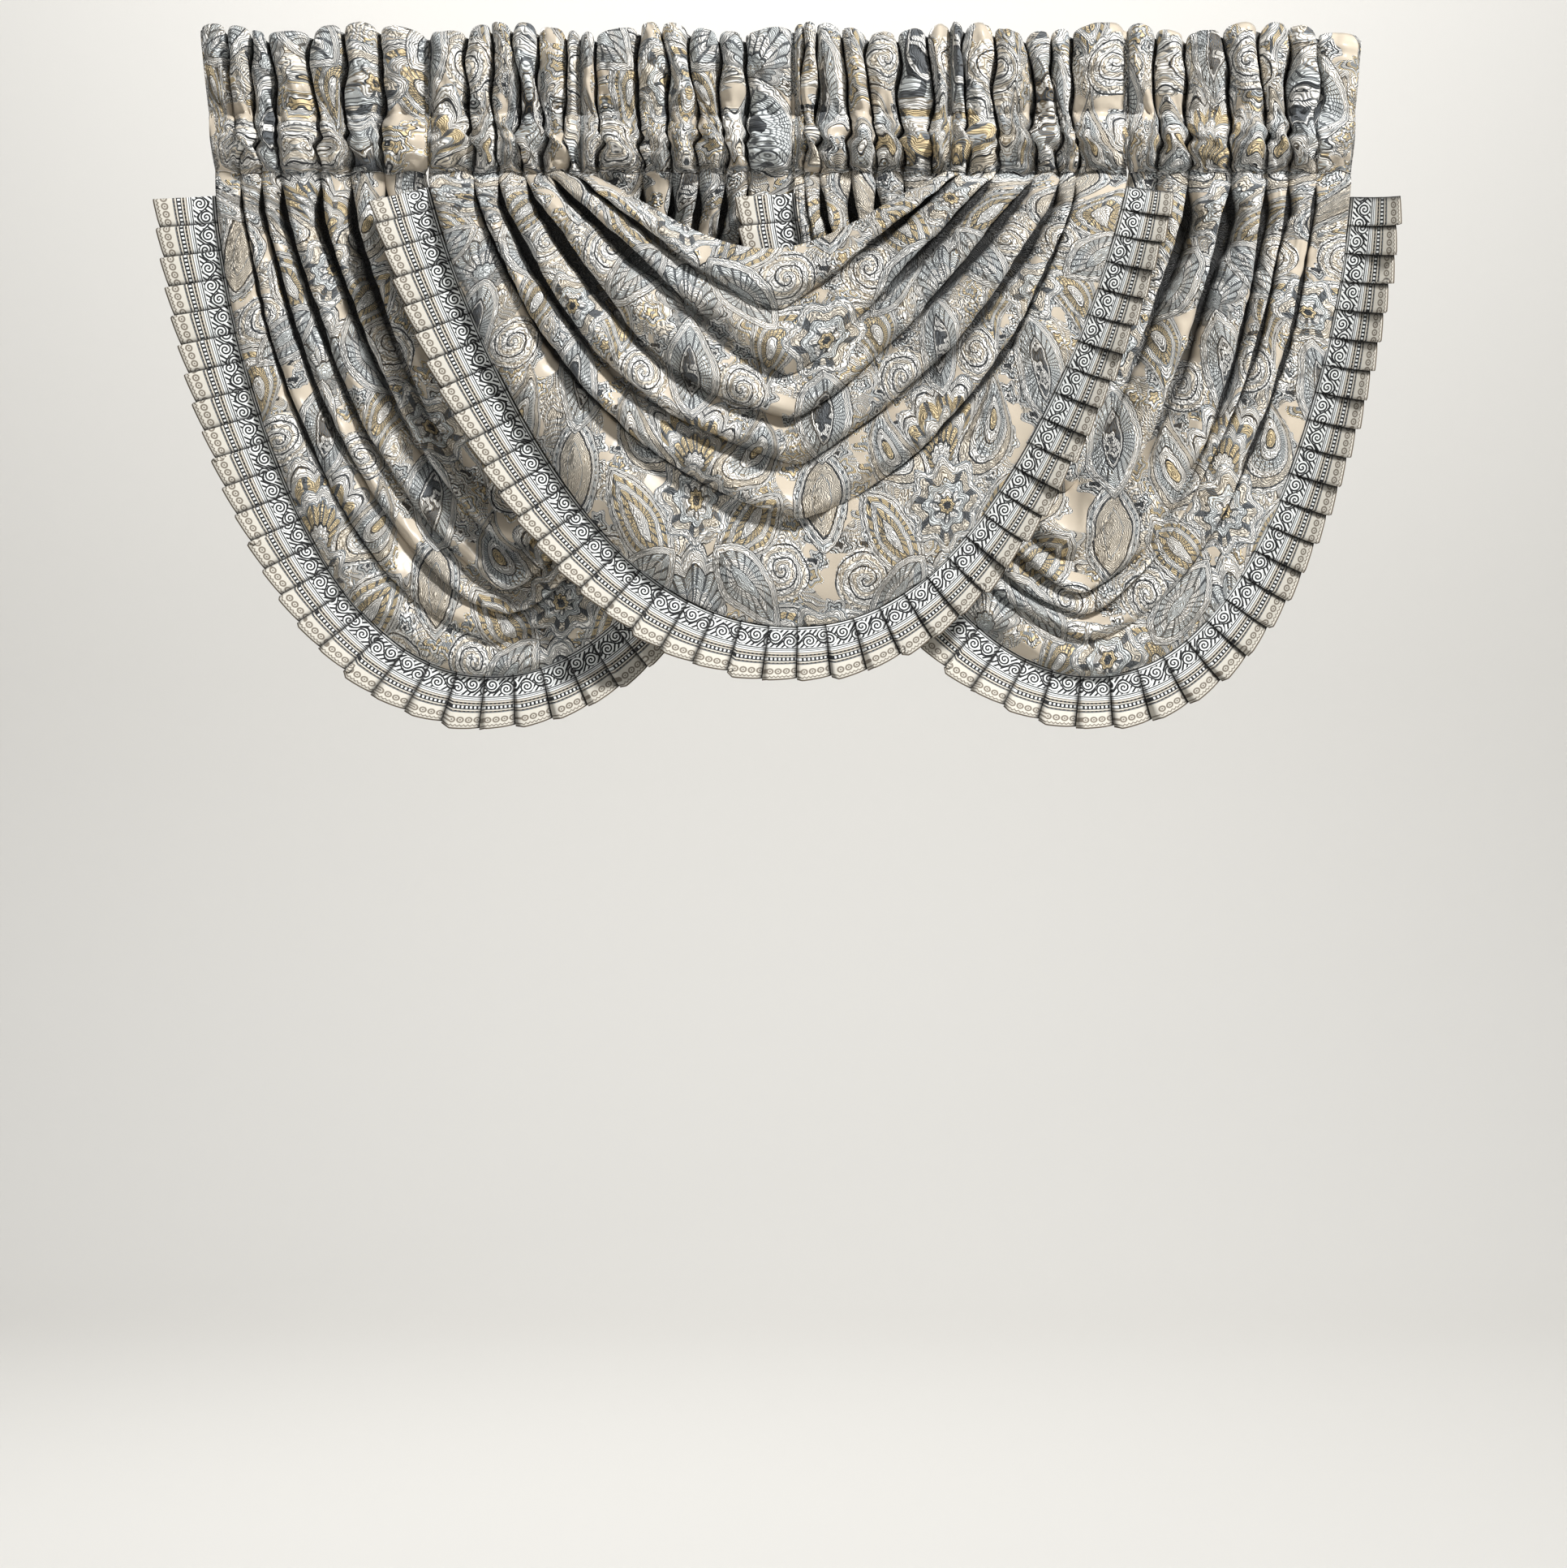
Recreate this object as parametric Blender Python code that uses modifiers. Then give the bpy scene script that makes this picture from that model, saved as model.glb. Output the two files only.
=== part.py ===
"""Waterfall valance: three swag panels whose gathered arms share one hidden rod.

Metres, +Z up. X runs along the rod, Z = 0 is the top edge of the ruffle, and Y = 0 is the
middle of the rod. The front faces -Y. The left and right panels hang behind, the centre panel
hangs in front of them, and the gathered arms of all three take turns along the rod.
"""
import math
from typing import NamedTuple

import bmesh
import bpy
import numpy as np

MM = 0.001

# Cloth and seams
CLOTH_THICKNESS = 2.0 * MM
SEAM_GAP = 0.3 * MM
SEAM_STUB = 3.0 * MM

# Heading: a folded-over sheet, stitched along two lines with the rod pocket between them
TOP_STITCH_Z = -76.0 * MM
GATHER_Z = -134.0 * MM
POCKET_HALF_DEPTH = 15.5 * MM
STITCHED_HALF_DEPTH = 1.6 * MM

# Knife-pleated border
TRIM_WIDTH = 58.0 * MM
TRIM_PLEAT_PITCH = 27.0 * MM
TRIM_PLEAT_RISE = 5.0 * MM
TRIM_STEP_SHARE = 0.12
TRIM_TOP_DROP = 20.0 * MM

# How the folds run: shares of a fold line's length, and shares of one fold's width
HALF_STATIONS = (0.0, 0.017, 0.043, 0.082, 0.135, 0.195, 0.257, 0.318, 0.379, 0.44)
FOLD_STATIONS = (0.0, 0.3, 0.7)
FOLD_ROUNDNESS = 0.75
FOLD_LEAN = 0.3
FOLD_GROWTH_RUN = 60.0 * MM
CURVE_SAMPLES = 241

CLOTH_COLOUR = (0.72, 0.67, 0.59, 1.0)
HEADING_COLOUR = (0.66, 0.61, 0.53, 1.0)
TRIM_COLOUR = (0.52, 0.51, 0.48, 1.0)


class Crease(NamedTuple):
    """One valley line between two folds, in millimetres, from the left arm to the right arm."""

    left_x: float
    right_x: float
    low_x: float
    low_z: float
    bow_left: float
    bow_right: float
    lift: float
    forward: float
    gather_depth: float


class Ridge(NamedTuple):
    """One fold between two creases, in millimetres: how far it stands out of the cloth."""

    gather_depth: float
    height_left: float
    height_low: float
    height_right: float


class Panel(NamedTuple):
    """One valance panel: its crease lines from the inner top edge to the hem, and its folds.

    Values for the two arms go left, right. The border's flares, in degrees towards the viewer,
    go left arm, low point, right arm.
    """

    name: str
    creases: tuple
    ridges: tuple
    forward_run: float
    arm_shifts: tuple
    arm_names: tuple
    arm_splays: tuple
    trim_flares: tuple


CENTRE = Panel(
    name="centre",
    creases=(
        Crease(-191.4, 164.1, -11.7, -213, 1.9, 1.9, 1.5, 50, -3),
        Crease(-203.1, 179.7, -1.6, -270, 2.0, 1.7, 1.5, 52, 5),
        Crease(-226.6, 210.9, 7.8, -332, 1.55, 1.6, 1.25, 52, 6),
        Crease(-246.9, 248.4, 11.7, -375, 2.4, 1.55, 1.1, 51, 6),
        Crease(-270.3, 269.5, 19.5, -418, 2.1, 1.45, 0.76, 50, 6),
        Crease(-294.5, 285.2, 19.5, -469, 2.1, 2.0, 0.8, 48, 5),
        Crease(-337.5, 334.4, 14.8, -572, 2.2, 2.2, 0.86, 44, 2),
    ),
    ridges=(
        Ridge(-8, 18, 20, 20),
        Ridge(-7, 20, 24, 22),
        Ridge(-6, 21, 26, 24),
        Ridge(-6, 20, 28, 22),
        Ridge(-6, 22, 30, 20),
        Ridge(-5, 14, 22, 14),
    ),
    forward_run=24.0,
    arm_shifts=(0.0, 0.0),
    arm_names=("heading_centre_left", "heading_centre_right"),
    arm_splays=(0.0, 0.0),
    trim_flares=(12.0, 26.0, 40.0),
)

LEFT = Panel(
    name="left",
    creases=(
        Crease(-340.6, -191.4, -265.6, -227, 2.0, 2.0, 0.8, -14, 6),
        Crease(-380.5, -175.0, -264.1, -359, 1.9, 1.9, 0.78, -10, 6),
        Crease(-412.5, -131.2, -262.5, -445, 1.9, 1.9, 0.77, -4, 6),
        Crease(-441.4, -103.1, -257.8, -500, 1.5, 1.85, 0.75, 2, 6),
        Crease(-479.7, -77.3, -259.4, -535, 1.8, 1.85, 0.8, 6, 6),
        Crease(-498.4, -51.6, -264.1, -560, 1.9, 2.0, 0.76, 8, 5),
        Crease(-518.8, -29.7, -271.9, -588, 2.1, 2.0, 0.72, 10, 4),
        Crease(-543.0, 14.9, -276.6, -617, 2.25, 2.1, 0.68, 8, 5),
    ),
    ridges=(
        Ridge(1, 12, 16, 6),
        Ridge(-5, 18, 22, 14),
        Ridge(-6, 22, 26, 16),
        Ridge(-6, 22, 26, 16),
        Ridge(-5, 14, 18, 16),
        Ridge(-4, 12, 14, 16),
        Ridge(-2, 8, 14, 12),
    ),
    forward_run=30.0,
    arm_shifts=(0.0, 22.0),
    arm_names=("heading_left_outer", "heading_left_inner"),
    arm_splays=(-14.0, 0.0),
    trim_flares=(12.0, 26.0, -10.0),
)

RIGHT = Panel(
    name="right",
    creases=(
        Crease(164.1, 336.7, 257.8, -227, 2.0, 2.0, 0.8, -14, 6),
        Crease(147.7, 364.8, 265.6, -359, 1.9, 1.9, 0.78, -10, 6),
        Crease(119.5, 394.5, 275.0, -441, 1.9, 1.35, 0.8, -4, 6),
        Crease(92.2, 435.9, 282.8, -508, 1.85, 1.5, 0.84, 2, 6),
        Crease(69.5, 468.8, 287.5, -538, 1.85, 2.2, 0.72, 6, 6),
        Crease(38.3, 490.6, 290.6, -560, 2.0, 1.9, 0.78, 8, 5),
        Crease(23.4, 517.2, 298.4, -586, 2.0, 2.1, 0.72, 10, 4),
        Crease(14.9, 550.0, 303.1, -617, 2.1, 2.25, 0.68, 8, -2),
    ),
    ridges=(
        Ridge(1, 6, 16, 12),
        Ridge(-5, 14, 22, 18),
        Ridge(-6, 16, 26, 22),
        Ridge(-6, 16, 26, 22),
        Ridge(-5, 16, 18, 14),
        Ridge(-4, 14, 16, 12),
        Ridge(-2, 8, 14, 8),
    ),
    forward_run=30.0,
    arm_shifts=(-8.0, 0.0),
    arm_names=("heading_right_inner", "heading_right_outer"),
    arm_splays=(0.0, 10.0),
    trim_flares=(12.0, 26.0, 40.0),
)

PANELS = (LEFT, CENTRE, RIGHT)


class HeadingLevel(NamedTuple):
    """One level of the heading's folded section: height, distance from the rod's plane, waves."""

    z: float
    side: float
    wave: float


FRONT, BACK = -1.0, 1.0
HEADING_SECTION = (
    HeadingLevel(GATHER_Z, FRONT * STITCHED_HALF_DEPTH, 0.0),
    HeadingLevel(GATHER_Z + SEAM_STUB, FRONT * STITCHED_HALF_DEPTH, 0.0),
    HeadingLevel(-118.0 * MM, FRONT * POCKET_HALF_DEPTH, 4.0 * MM),
    HeadingLevel(-92.0 * MM, FRONT * POCKET_HALF_DEPTH, 4.0 * MM),
    HeadingLevel(TOP_STITCH_Z, FRONT * STITCHED_HALF_DEPTH, 5.5 * MM),
    HeadingLevel(-38.0 * MM, FRONT * 5.0 * MM, 7.0 * MM),
    HeadingLevel(-3.0 * MM, FRONT * 2.0 * MM, 8.0 * MM),
    HeadingLevel(0.0, 0.0, 8.0 * MM),
    HeadingLevel(-38.0 * MM, BACK * 4.5 * MM, 7.0 * MM),
    HeadingLevel(TOP_STITCH_Z, BACK * STITCHED_HALF_DEPTH, 5.5 * MM),
    HeadingLevel(-92.0 * MM, BACK * POCKET_HALF_DEPTH, 4.0 * MM),
    HeadingLevel(-118.0 * MM, BACK * POCKET_HALF_DEPTH, 4.0 * MM),
    HeadingLevel(GATHER_Z + SEAM_STUB, BACK * STITCHED_HALF_DEPTH, 0.0),
)
HEADING_END_STRIP = 2.0 * MM
HEADING_TOP_LEAN = -9.0 * MM
HEADING_TOP_UNEVEN = 4.0 * MM


def clear_scene():
    """Remove every object, so that the script can run again in the same file."""
    for old in list(bpy.data.objects):
        bpy.data.objects.remove(old, do_unlink=True)


def make_material(name, colour, roughness):
    """Return a plain Principled material."""
    material = bpy.data.materials.new(name)
    material.use_nodes = True
    shader = material.node_tree.nodes["Principled BSDF"]
    shader.inputs["Base Color"].default_value = colour
    shader.inputs["Roughness"].default_value = roughness
    shader.inputs["Metallic"].default_value = 0.0
    return material


def smooth_step(value):
    """Ease from 0 to 1 as value goes from 0 to 1."""
    clipped = np.clip(value, 0.0, 1.0)
    return clipped * clipped * (3.0 - 2.0 * clipped)


def line_stations():
    """Shares of a fold line's length, close together near both arms."""
    return np.array(HALF_STATIONS + (0.5,) + tuple(1.0 - share for share in reversed(HALF_STATIONS)))


def crease_points(crease, stations):
    """Return x and z along one crease at the stations, with a straight stub at each arm."""
    spread = np.linspace(-1.0, 1.0, CURVE_SAMPLES)
    reach = np.where(spread < 0, crease.low_x - crease.left_x, crease.right_x - crease.low_x)
    bow = np.where(spread < 0, crease.bow_left, crease.bow_right)
    start_z = GATHER_Z - SEAM_GAP - SEAM_STUB
    x = crease.low_x * MM + spread * reach * MM
    fall = (1.0 - np.abs(spread) ** bow) ** crease.lift
    z = start_z + (crease.low_z * MM - start_z) * fall
    run = np.concatenate(([0.0], np.cumsum(np.hypot(np.diff(x), np.diff(z)))))
    wanted = stations * run[-1]
    line_x = np.interp(wanted, run, x)
    line_z = np.interp(wanted, run, z)
    along = np.minimum(wanted, run[-1] - wanted)
    line_x = np.concatenate(([line_x[0]], line_x, [line_x[-1]]))
    line_z = np.concatenate(([start_z + SEAM_STUB], line_z, [start_z + SEAM_STUB]))
    along = np.concatenate(([0.0], along, [0.0]))
    return line_x, line_z, along


def side_blend(stations, left, low, right):
    """Blend three values along a fold line: at the left arm, the low point and the right arm."""
    arms = np.where(stations < 0.5, left, right)
    return arms + (low - arms) * smooth_step(1.0 - np.abs(stations - 0.5) / 0.38)


def hem_outward(hem):
    """Return the level direction that leaves the cloth at each point of its hem."""
    ahead = np.gradient(hem, axis=0)
    outward = np.stack((ahead[:, 2], np.zeros(len(hem)), -ahead[:, 0]), axis=-1)
    return outward / np.linalg.norm(outward, axis=1)[:, None]


def swag_surface(panel):
    """Return the middle surface of a panel's swag as an array of rows (across) by stations."""
    shares = line_stations()
    stations = np.concatenate(([0.0], shares, [1.0]))
    lines = [crease_points(crease, shares) for crease in panel.creases]
    rows = []
    for index, ridge in enumerate(panel.ridges):
        upper, lower = panel.creases[index], panel.creases[index + 1]
        last_fold = index == len(panel.ridges) - 1
        for share in FOLD_STATIONS + ((1.0,) if last_fold else ()):
            x = lines[index][0] + (lines[index + 1][0] - lines[index][0]) * share
            z = lines[index][1] + (lines[index + 1][1] - lines[index][1]) * share
            along = lines[index][2] + (lines[index + 1][2] - lines[index][2]) * share
            step_x = lines[index + 1][0] - lines[index][0]
            step_z = lines[index + 1][1] - lines[index][1]
            step = np.maximum(np.hypot(step_x, step_z), MM)
            crest = math.sin(math.pi * share) ** FOLD_ROUNDNESS if 0 < share < 1 else 0.0
            valley_depth = upper.gather_depth + (lower.gather_depth - upper.gather_depth) * share
            gather_depth = (valley_depth + (ridge.gather_depth - valley_depth) * crest) * MM
            height = side_blend(stations, ridge.height_left, ridge.height_low, ridge.height_right) * MM
            growth = smooth_step(along / FOLD_GROWTH_RUN)
            forward = (upper.forward + (lower.forward - upper.forward) * share) * MM
            arrival = 1.0 - np.exp(-along / (panel.forward_run * MM))
            arm_shift = side_blend(stations, panel.arm_shifts[0], 0.0, panel.arm_shifts[1]) * MM
            body_depth = height * (0.5 - crest)
            depth = gather_depth + (body_depth - gather_depth) * growth
            y = depth + (arm_shift - forward) * arrival
            lean = FOLD_LEAN * height * crest * growth
            rows.append(np.stack((x + lean * step_x / step, y, z + lean * step_z / step), axis=-1))
    hem = rows[-1]
    rows.insert(-1, hem - hem_outward(hem) * SEAM_STUB)
    return np.array(rows)


def read_line(values, run, wanted):
    """Read a line of points at the wanted distances along it."""
    return np.stack([np.interp(wanted, run, values[:, axis]) for axis in range(3)], axis=-1)


def trim_surface(panel, surface):
    """Return the pleated border's middle surface: rows from the seam outwards, by pleat edges."""
    hem = surface[-1, 1:-1]
    outward = hem_outward(surface[-1])[1:-1]
    run = np.concatenate(([0.0], np.cumsum(np.linalg.norm(np.diff(hem, axis=0), axis=1))))
    covered = np.flatnonzero((run > TRIM_TOP_DROP) & (run < run[-1] - TRIM_TOP_DROP))
    wanted, phase = [], []
    for index in covered[:-1]:
        stretch = run[index + 1] - run[index]
        pleats = max(1, round(stretch / TRIM_PLEAT_PITCH))
        for pleat in range(pleats):
            start = run[index] + stretch * pleat / pleats
            wanted += [start, start + stretch / pleats * (1.0 - TRIM_STEP_SHARE)]
            phase += [-0.5, 0.5]
    wanted, phase = np.array(wanted), np.array(phase)
    seam = read_line(hem, run, wanted)
    outward = read_line(outward, run, wanted)
    flare = np.radians(side_blend(wanted / run[-1], *panel.trim_flares))
    spread = outward * np.cos(flare)[:, None]
    spread[:, 1] -= np.sin(flare)
    rows = [seam + outward * SEAM_GAP, seam + outward * (SEAM_GAP + SEAM_STUB)]
    edge = rows[-1] + spread * (TRIM_WIDTH - SEAM_STUB)
    edge[:, 1] += phase * TRIM_PLEAT_RISE
    rows.append(edge)
    return np.array(rows)


def arm_edges(panel, side):
    """Return x of an arm's creases from left to right, and the depth at creases and ridges."""
    xs = [crease.left_x if side == 0 else crease.right_x for crease in panel.creases]
    depths = [crease.gather_depth for crease in panel.creases]
    crests = [ridge.gather_depth for ridge in panel.ridges]
    order = slice(None, None, -1) if side == 0 else slice(None)
    return np.array(xs[order]) * MM, np.array(depths[order]) * MM, np.array(crests[order]) * MM


def heading_surface(panel, side):
    """Return a heading's middle surface: levels of the folded section by places along the arm."""
    creases, depths, crests = arm_edges(panel, side)
    low, high = creases[0], creases[-1]
    places, gather, wave = [low + SEAM_GAP / 2, low + HEADING_END_STRIP], [depths[0]] * 2, [0.0] * 2
    for index, crest in enumerate(crests):
        places.append((creases[index] + creases[index + 1]) / 2)
        gather.append(crest)
        wave.append(-1.0)
        if index < len(crests) - 1:
            places.append(creases[index + 1])
            gather.append(depths[index + 1])
            wave.append(1.0)
    places += [high - HEADING_END_STRIP, high - SEAM_GAP / 2]
    gather += [depths[-1]] * 2
    wave += [0.0] * 2
    places, gather, wave = np.array(places), np.array(gather), np.array(wave)
    across = (places - low) / (high - low)
    from_inner_end = 1.0 - across if side == 0 else across
    rows = []
    for level in HEADING_SECTION:
        rise = (level.z - GATHER_Z) / -GATHER_Z
        lean = HEADING_TOP_LEAN * rise * np.sin(np.pi * across)
        lean += panel.arm_splays[side] * MM * rise * from_inner_end ** 3
        hold = 1.0 if level.wave == 0.0 else 0.0
        y = level.side + level.wave * wave + hold * gather
        z = level.z + HEADING_TOP_UNEVEN * rise ** 4 * (np.sin(places / (23 * MM)) - 0.6 * wave)
        rows.append(np.stack((places + lean, y, z), axis=-1))
    return np.array(rows)


def make_sheet(name, surface, material, parent, collection):
    """Make a closed sheet from a grid laid on the middle surface, thickened by Solidify."""
    rows, columns = surface.shape[:2]
    grid = bmesh.new()
    bmesh.ops.create_grid(grid, x_segments=columns - 1, y_segments=rows - 1, size=0.5)
    for vertex in grid.verts:
        column = round((vertex.co.x + 0.5) * (columns - 1))
        row = round((vertex.co.y + 0.5) * (rows - 1))
        vertex.co = surface[row, column]
    mesh = bpy.data.meshes.new(name)
    grid.to_mesh(mesh)
    grid.free()
    mesh.materials.append(material)
    sheet = bpy.data.objects.new(name, mesh)
    collection.objects.link(sheet)
    sheet.parent = parent
    solid = sheet.modifiers.new("cloth thickness", "SOLIDIFY")
    solid.thickness = CLOTH_THICKNESS
    solid.offset = 0.0
    return sheet


def build():
    """Build the three panels, with their headings and borders."""
    clear_scene()
    collection = bpy.data.collections.new("valance parts")
    bpy.context.scene.collection.children.link(collection)
    root = bpy.data.objects.new("valance", None)
    collection.objects.link(root)
    for panel in PANELS:
        cloth = make_material(f"jacquard cloth {panel.name}", CLOTH_COLOUR, 0.8)
        border = make_material(f"woven border {panel.name}", TRIM_COLOUR, 0.85)
        surface = swag_surface(panel)
        make_sheet(f"swag_{panel.name}", surface, cloth, root, collection)
        make_sheet(f"trim_{panel.name}", trim_surface(panel, surface), border, root, collection)
        for side, name in enumerate(panel.arm_names):
            heading = make_material(f"gathered heading {name}", HEADING_COLOUR, 0.8)
            make_sheet(name, heading_surface(panel, side), heading, root, collection)


build()
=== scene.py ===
"""The looks of a waterfall valance: three draped swags with gathered headings and pleated borders.

Every piece of cloth is a fine sheet that stands for the plain solid of the same part. The fold
lines repeat the part's own values, in the same frame: X along the rod, Z = 0 at the top of the
ruffle, Y = 0 in the middle of the rod, and the front faces -Y.
"""

import logging
import math
from dataclasses import dataclass
from enum import Enum
from typing import Any, NamedTuple

import bmesh
import bpy
import numpy as np
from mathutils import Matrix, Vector

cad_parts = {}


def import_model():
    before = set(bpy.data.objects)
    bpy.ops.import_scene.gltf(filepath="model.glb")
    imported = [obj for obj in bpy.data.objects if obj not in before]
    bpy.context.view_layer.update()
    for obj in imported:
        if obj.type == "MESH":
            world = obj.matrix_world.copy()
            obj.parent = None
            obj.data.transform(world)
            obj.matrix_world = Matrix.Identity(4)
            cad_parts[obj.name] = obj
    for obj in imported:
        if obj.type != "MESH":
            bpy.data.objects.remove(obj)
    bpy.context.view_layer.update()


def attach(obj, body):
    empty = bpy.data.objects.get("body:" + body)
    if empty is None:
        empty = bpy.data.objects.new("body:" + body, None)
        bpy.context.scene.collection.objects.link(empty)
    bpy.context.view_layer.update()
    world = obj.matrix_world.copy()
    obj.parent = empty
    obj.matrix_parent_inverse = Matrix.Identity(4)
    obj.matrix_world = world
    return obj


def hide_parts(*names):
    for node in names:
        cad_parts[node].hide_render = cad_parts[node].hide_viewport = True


LOG = logging.getLogger("valance")
MM = 0.001

SEAM_GAP = 0.3 * MM
SEAM_STUB = 3.0 * MM
GATHER_Z = -134.0 * MM
LOW_STITCH_Z = -128.0 * MM
ROD_Z = -105.0 * MM
TOP_STITCH_Z = -76.0 * MM


class Side(Enum):
    """The two gathered arms of a panel."""

    LEFT = 0
    RIGHT = 1


class Crease(NamedTuple):
    """One valley line between two folds, in millimetres, from the left arm to the right arm."""

    left_x: float
    right_x: float
    low_x: float
    low_z: float
    bow_left: float
    bow_right: float
    lift: float
    forward: float
    gather_depth: float


class Ridge(NamedTuple):
    """One fold between two creases, in millimetres: how far it stands out of the cloth."""

    gather_depth: float
    height_left: float
    height_low: float
    height_right: float


@dataclass(frozen=True)
class Panel:
    """One panel: its crease lines from the inner top edge to the hem, and its folds.

    Attributes:
        forward_run: the run in mm over which the swag comes forward from the rod.
        arm_shifts: how far each arm's cloth lies back, in mm.
        arm_splays: how far the end of each heading leans out at the top, in mm.
        trim_flares: the border's tilt to the front in degrees, left, at the low point and right.
        seed: a number that gives the panel its own waves.
    """

    name: str
    creases: tuple
    ridges: tuple
    forward_run: float
    arm_shifts: tuple
    arm_names: tuple
    arm_splays: tuple
    trim_flares: tuple
    seed: float


CENTRE = Panel(
    name="centre",
    creases=(
        Crease(-191.4, 164.1, -11.7, -213, 1.9, 1.9, 1.5, 50, -3),
        Crease(-203.1, 179.7, -1.6, -270, 2.0, 1.7, 1.5, 52, 5),
        Crease(-226.6, 210.9, 7.8, -332, 1.55, 1.6, 1.25, 52, 6),
        Crease(-246.9, 248.4, 11.7, -375, 2.4, 1.55, 1.1, 51, 6),
        Crease(-270.3, 269.5, 19.5, -418, 2.1, 1.45, 0.76, 50, 6),
        Crease(-294.5, 285.2, 19.5, -469, 2.1, 2.0, 0.8, 48, 5),
        Crease(-337.5, 334.4, 14.8, -572, 2.2, 2.2, 0.86, 44, 2),
    ),
    ridges=(
        Ridge(-8, 18, 20, 20),
        Ridge(-7, 20, 24, 22),
        Ridge(-6, 21, 26, 24),
        Ridge(-6, 20, 28, 22),
        Ridge(-6, 22, 30, 20),
        Ridge(-5, 14, 22, 14),
    ),
    forward_run=24.0,
    arm_shifts=(0.0, 0.0),
    arm_names=("heading_centre_left", "heading_centre_right"),
    arm_splays=(0.0, 0.0),
    trim_flares=(12.0, 26.0, 40.0),
    seed=1.7,
)

LEFT = Panel(
    name="left",
    creases=(
        Crease(-340.6, -191.4, -265.6, -227, 2.0, 2.0, 0.8, -14, 6),
        Crease(-380.5, -175.0, -264.1, -359, 1.9, 1.9, 0.78, -10, 6),
        Crease(-412.5, -131.2, -262.5, -445, 1.9, 1.9, 0.77, -4, 6),
        Crease(-441.4, -103.1, -257.8, -500, 1.5, 1.85, 0.75, 2, 6),
        Crease(-479.7, -77.3, -259.4, -535, 1.8, 1.85, 0.8, 6, 6),
        Crease(-498.4, -51.6, -264.1, -560, 1.9, 2.0, 0.76, 8, 5),
        Crease(-518.8, -29.7, -271.9, -588, 2.1, 2.0, 0.72, 10, 4),
        Crease(-543.0, 14.9, -276.6, -617, 2.25, 2.1, 0.68, 8, 5),
    ),
    ridges=(
        Ridge(1, 12, 16, 6),
        Ridge(-5, 18, 22, 14),
        Ridge(-6, 22, 26, 16),
        Ridge(-6, 22, 26, 16),
        Ridge(-5, 14, 18, 16),
        Ridge(-4, 12, 14, 16),
        Ridge(-2, 8, 14, 12),
    ),
    forward_run=30.0,
    arm_shifts=(0.0, 22.0),
    arm_names=("heading_left_outer", "heading_left_inner"),
    arm_splays=(-14.0, 0.0),
    trim_flares=(12.0, 26.0, -10.0),
    seed=4.1,
)

RIGHT = Panel(
    name="right",
    creases=(
        Crease(164.1, 336.7, 257.8, -227, 2.0, 2.0, 0.8, -14, 6),
        Crease(147.7, 364.8, 265.6, -359, 1.9, 1.9, 0.78, -10, 6),
        Crease(119.5, 394.5, 275.0, -441, 1.9, 1.35, 0.8, -4, 6),
        Crease(92.2, 435.9, 282.8, -508, 1.85, 1.5, 0.84, 2, 6),
        Crease(69.5, 468.8, 287.5, -538, 1.85, 2.2, 0.72, 6, 6),
        Crease(38.3, 490.6, 290.6, -560, 2.0, 1.9, 0.78, 8, 5),
        Crease(23.4, 517.2, 298.4, -586, 2.0, 2.1, 0.72, 10, 4),
        Crease(14.9, 550.0, 303.1, -617, 2.1, 2.25, 0.68, 8, -2),
    ),
    ridges=(
        Ridge(1, 6, 16, 12),
        Ridge(-5, 14, 22, 18),
        Ridge(-6, 16, 26, 22),
        Ridge(-6, 16, 26, 22),
        Ridge(-5, 16, 18, 14),
        Ridge(-4, 14, 16, 12),
        Ridge(-2, 8, 14, 8),
    ),
    forward_run=30.0,
    arm_shifts=(-8.0, 0.0),
    arm_names=("heading_right_inner", "heading_right_outer"),
    arm_splays=(0.0, 10.0),
    trim_flares=(12.0, 26.0, 40.0),
    seed=7.9,
)

PANELS = (LEFT, CENTRE, RIGHT)


def smooth_step(value: np.ndarray) -> np.ndarray:
    """Ease from 0 to 1 as value goes from 0 to 1."""
    clipped = np.clip(value, 0.0, 1.0)
    return clipped * clipped * (3.0 - 2.0 * clipped)


def wander(place: np.ndarray, seed: float) -> np.ndarray:
    """Return a soft wave between about -1 and 1 that never repeats.

    Args:
        place: where to read the wave, in units of about one wave to the step.
        seed: a number that gives each piece its own wave.

    Returns:
        The wave's value at each place.
    """
    first = np.sin(2.0 * math.pi * place + seed * 5.1)
    second = np.sin(2.0 * math.pi * 1.63 * place + seed * 9.7 + 1.3)
    third = np.sin(2.0 * math.pi * 2.71 * place + seed * 3.3 + 0.4)
    return 0.5 * first + 0.32 * second + 0.18 * third


def crumple(across: np.ndarray, along: np.ndarray, seed: float) -> np.ndarray:
    """Return soft, uneven dents between about -1 and 1.

    Args:
        across: the place across the cloth, in units of about one dent.
        along: the place along the cloth, in units of about one dent.
        seed: a number that gives each piece its own dents.

    Returns:
        The dents' height at each place.
    """
    total = np.zeros(np.broadcast(across, along).shape)
    for number in range(6):
        turn = seed * 2.3 + number * 1.27
        pace = 0.62 + 0.19 * number
        wave = (across * math.cos(turn) + along * math.sin(turn)) * pace
        bend = 0.35 * np.sin(1.9 * (along * math.cos(turn) - across * math.sin(turn)) + number + seed)
        total = total + np.sin(2.0 * math.pi * (wave + bend) + seed * 7.0 + number * 2.1)
    return total / 3.2


def side_blend(stations: np.ndarray, left: float, low: float, right: float) -> np.ndarray:
    """Blend three values along a fold line: at the left arm, the low point and the right arm."""
    arms = np.where(stations < 0.5, left, right)
    return arms + (low - arms) * smooth_step(1.0 - np.abs(stations - 0.5) / 0.38)


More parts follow.
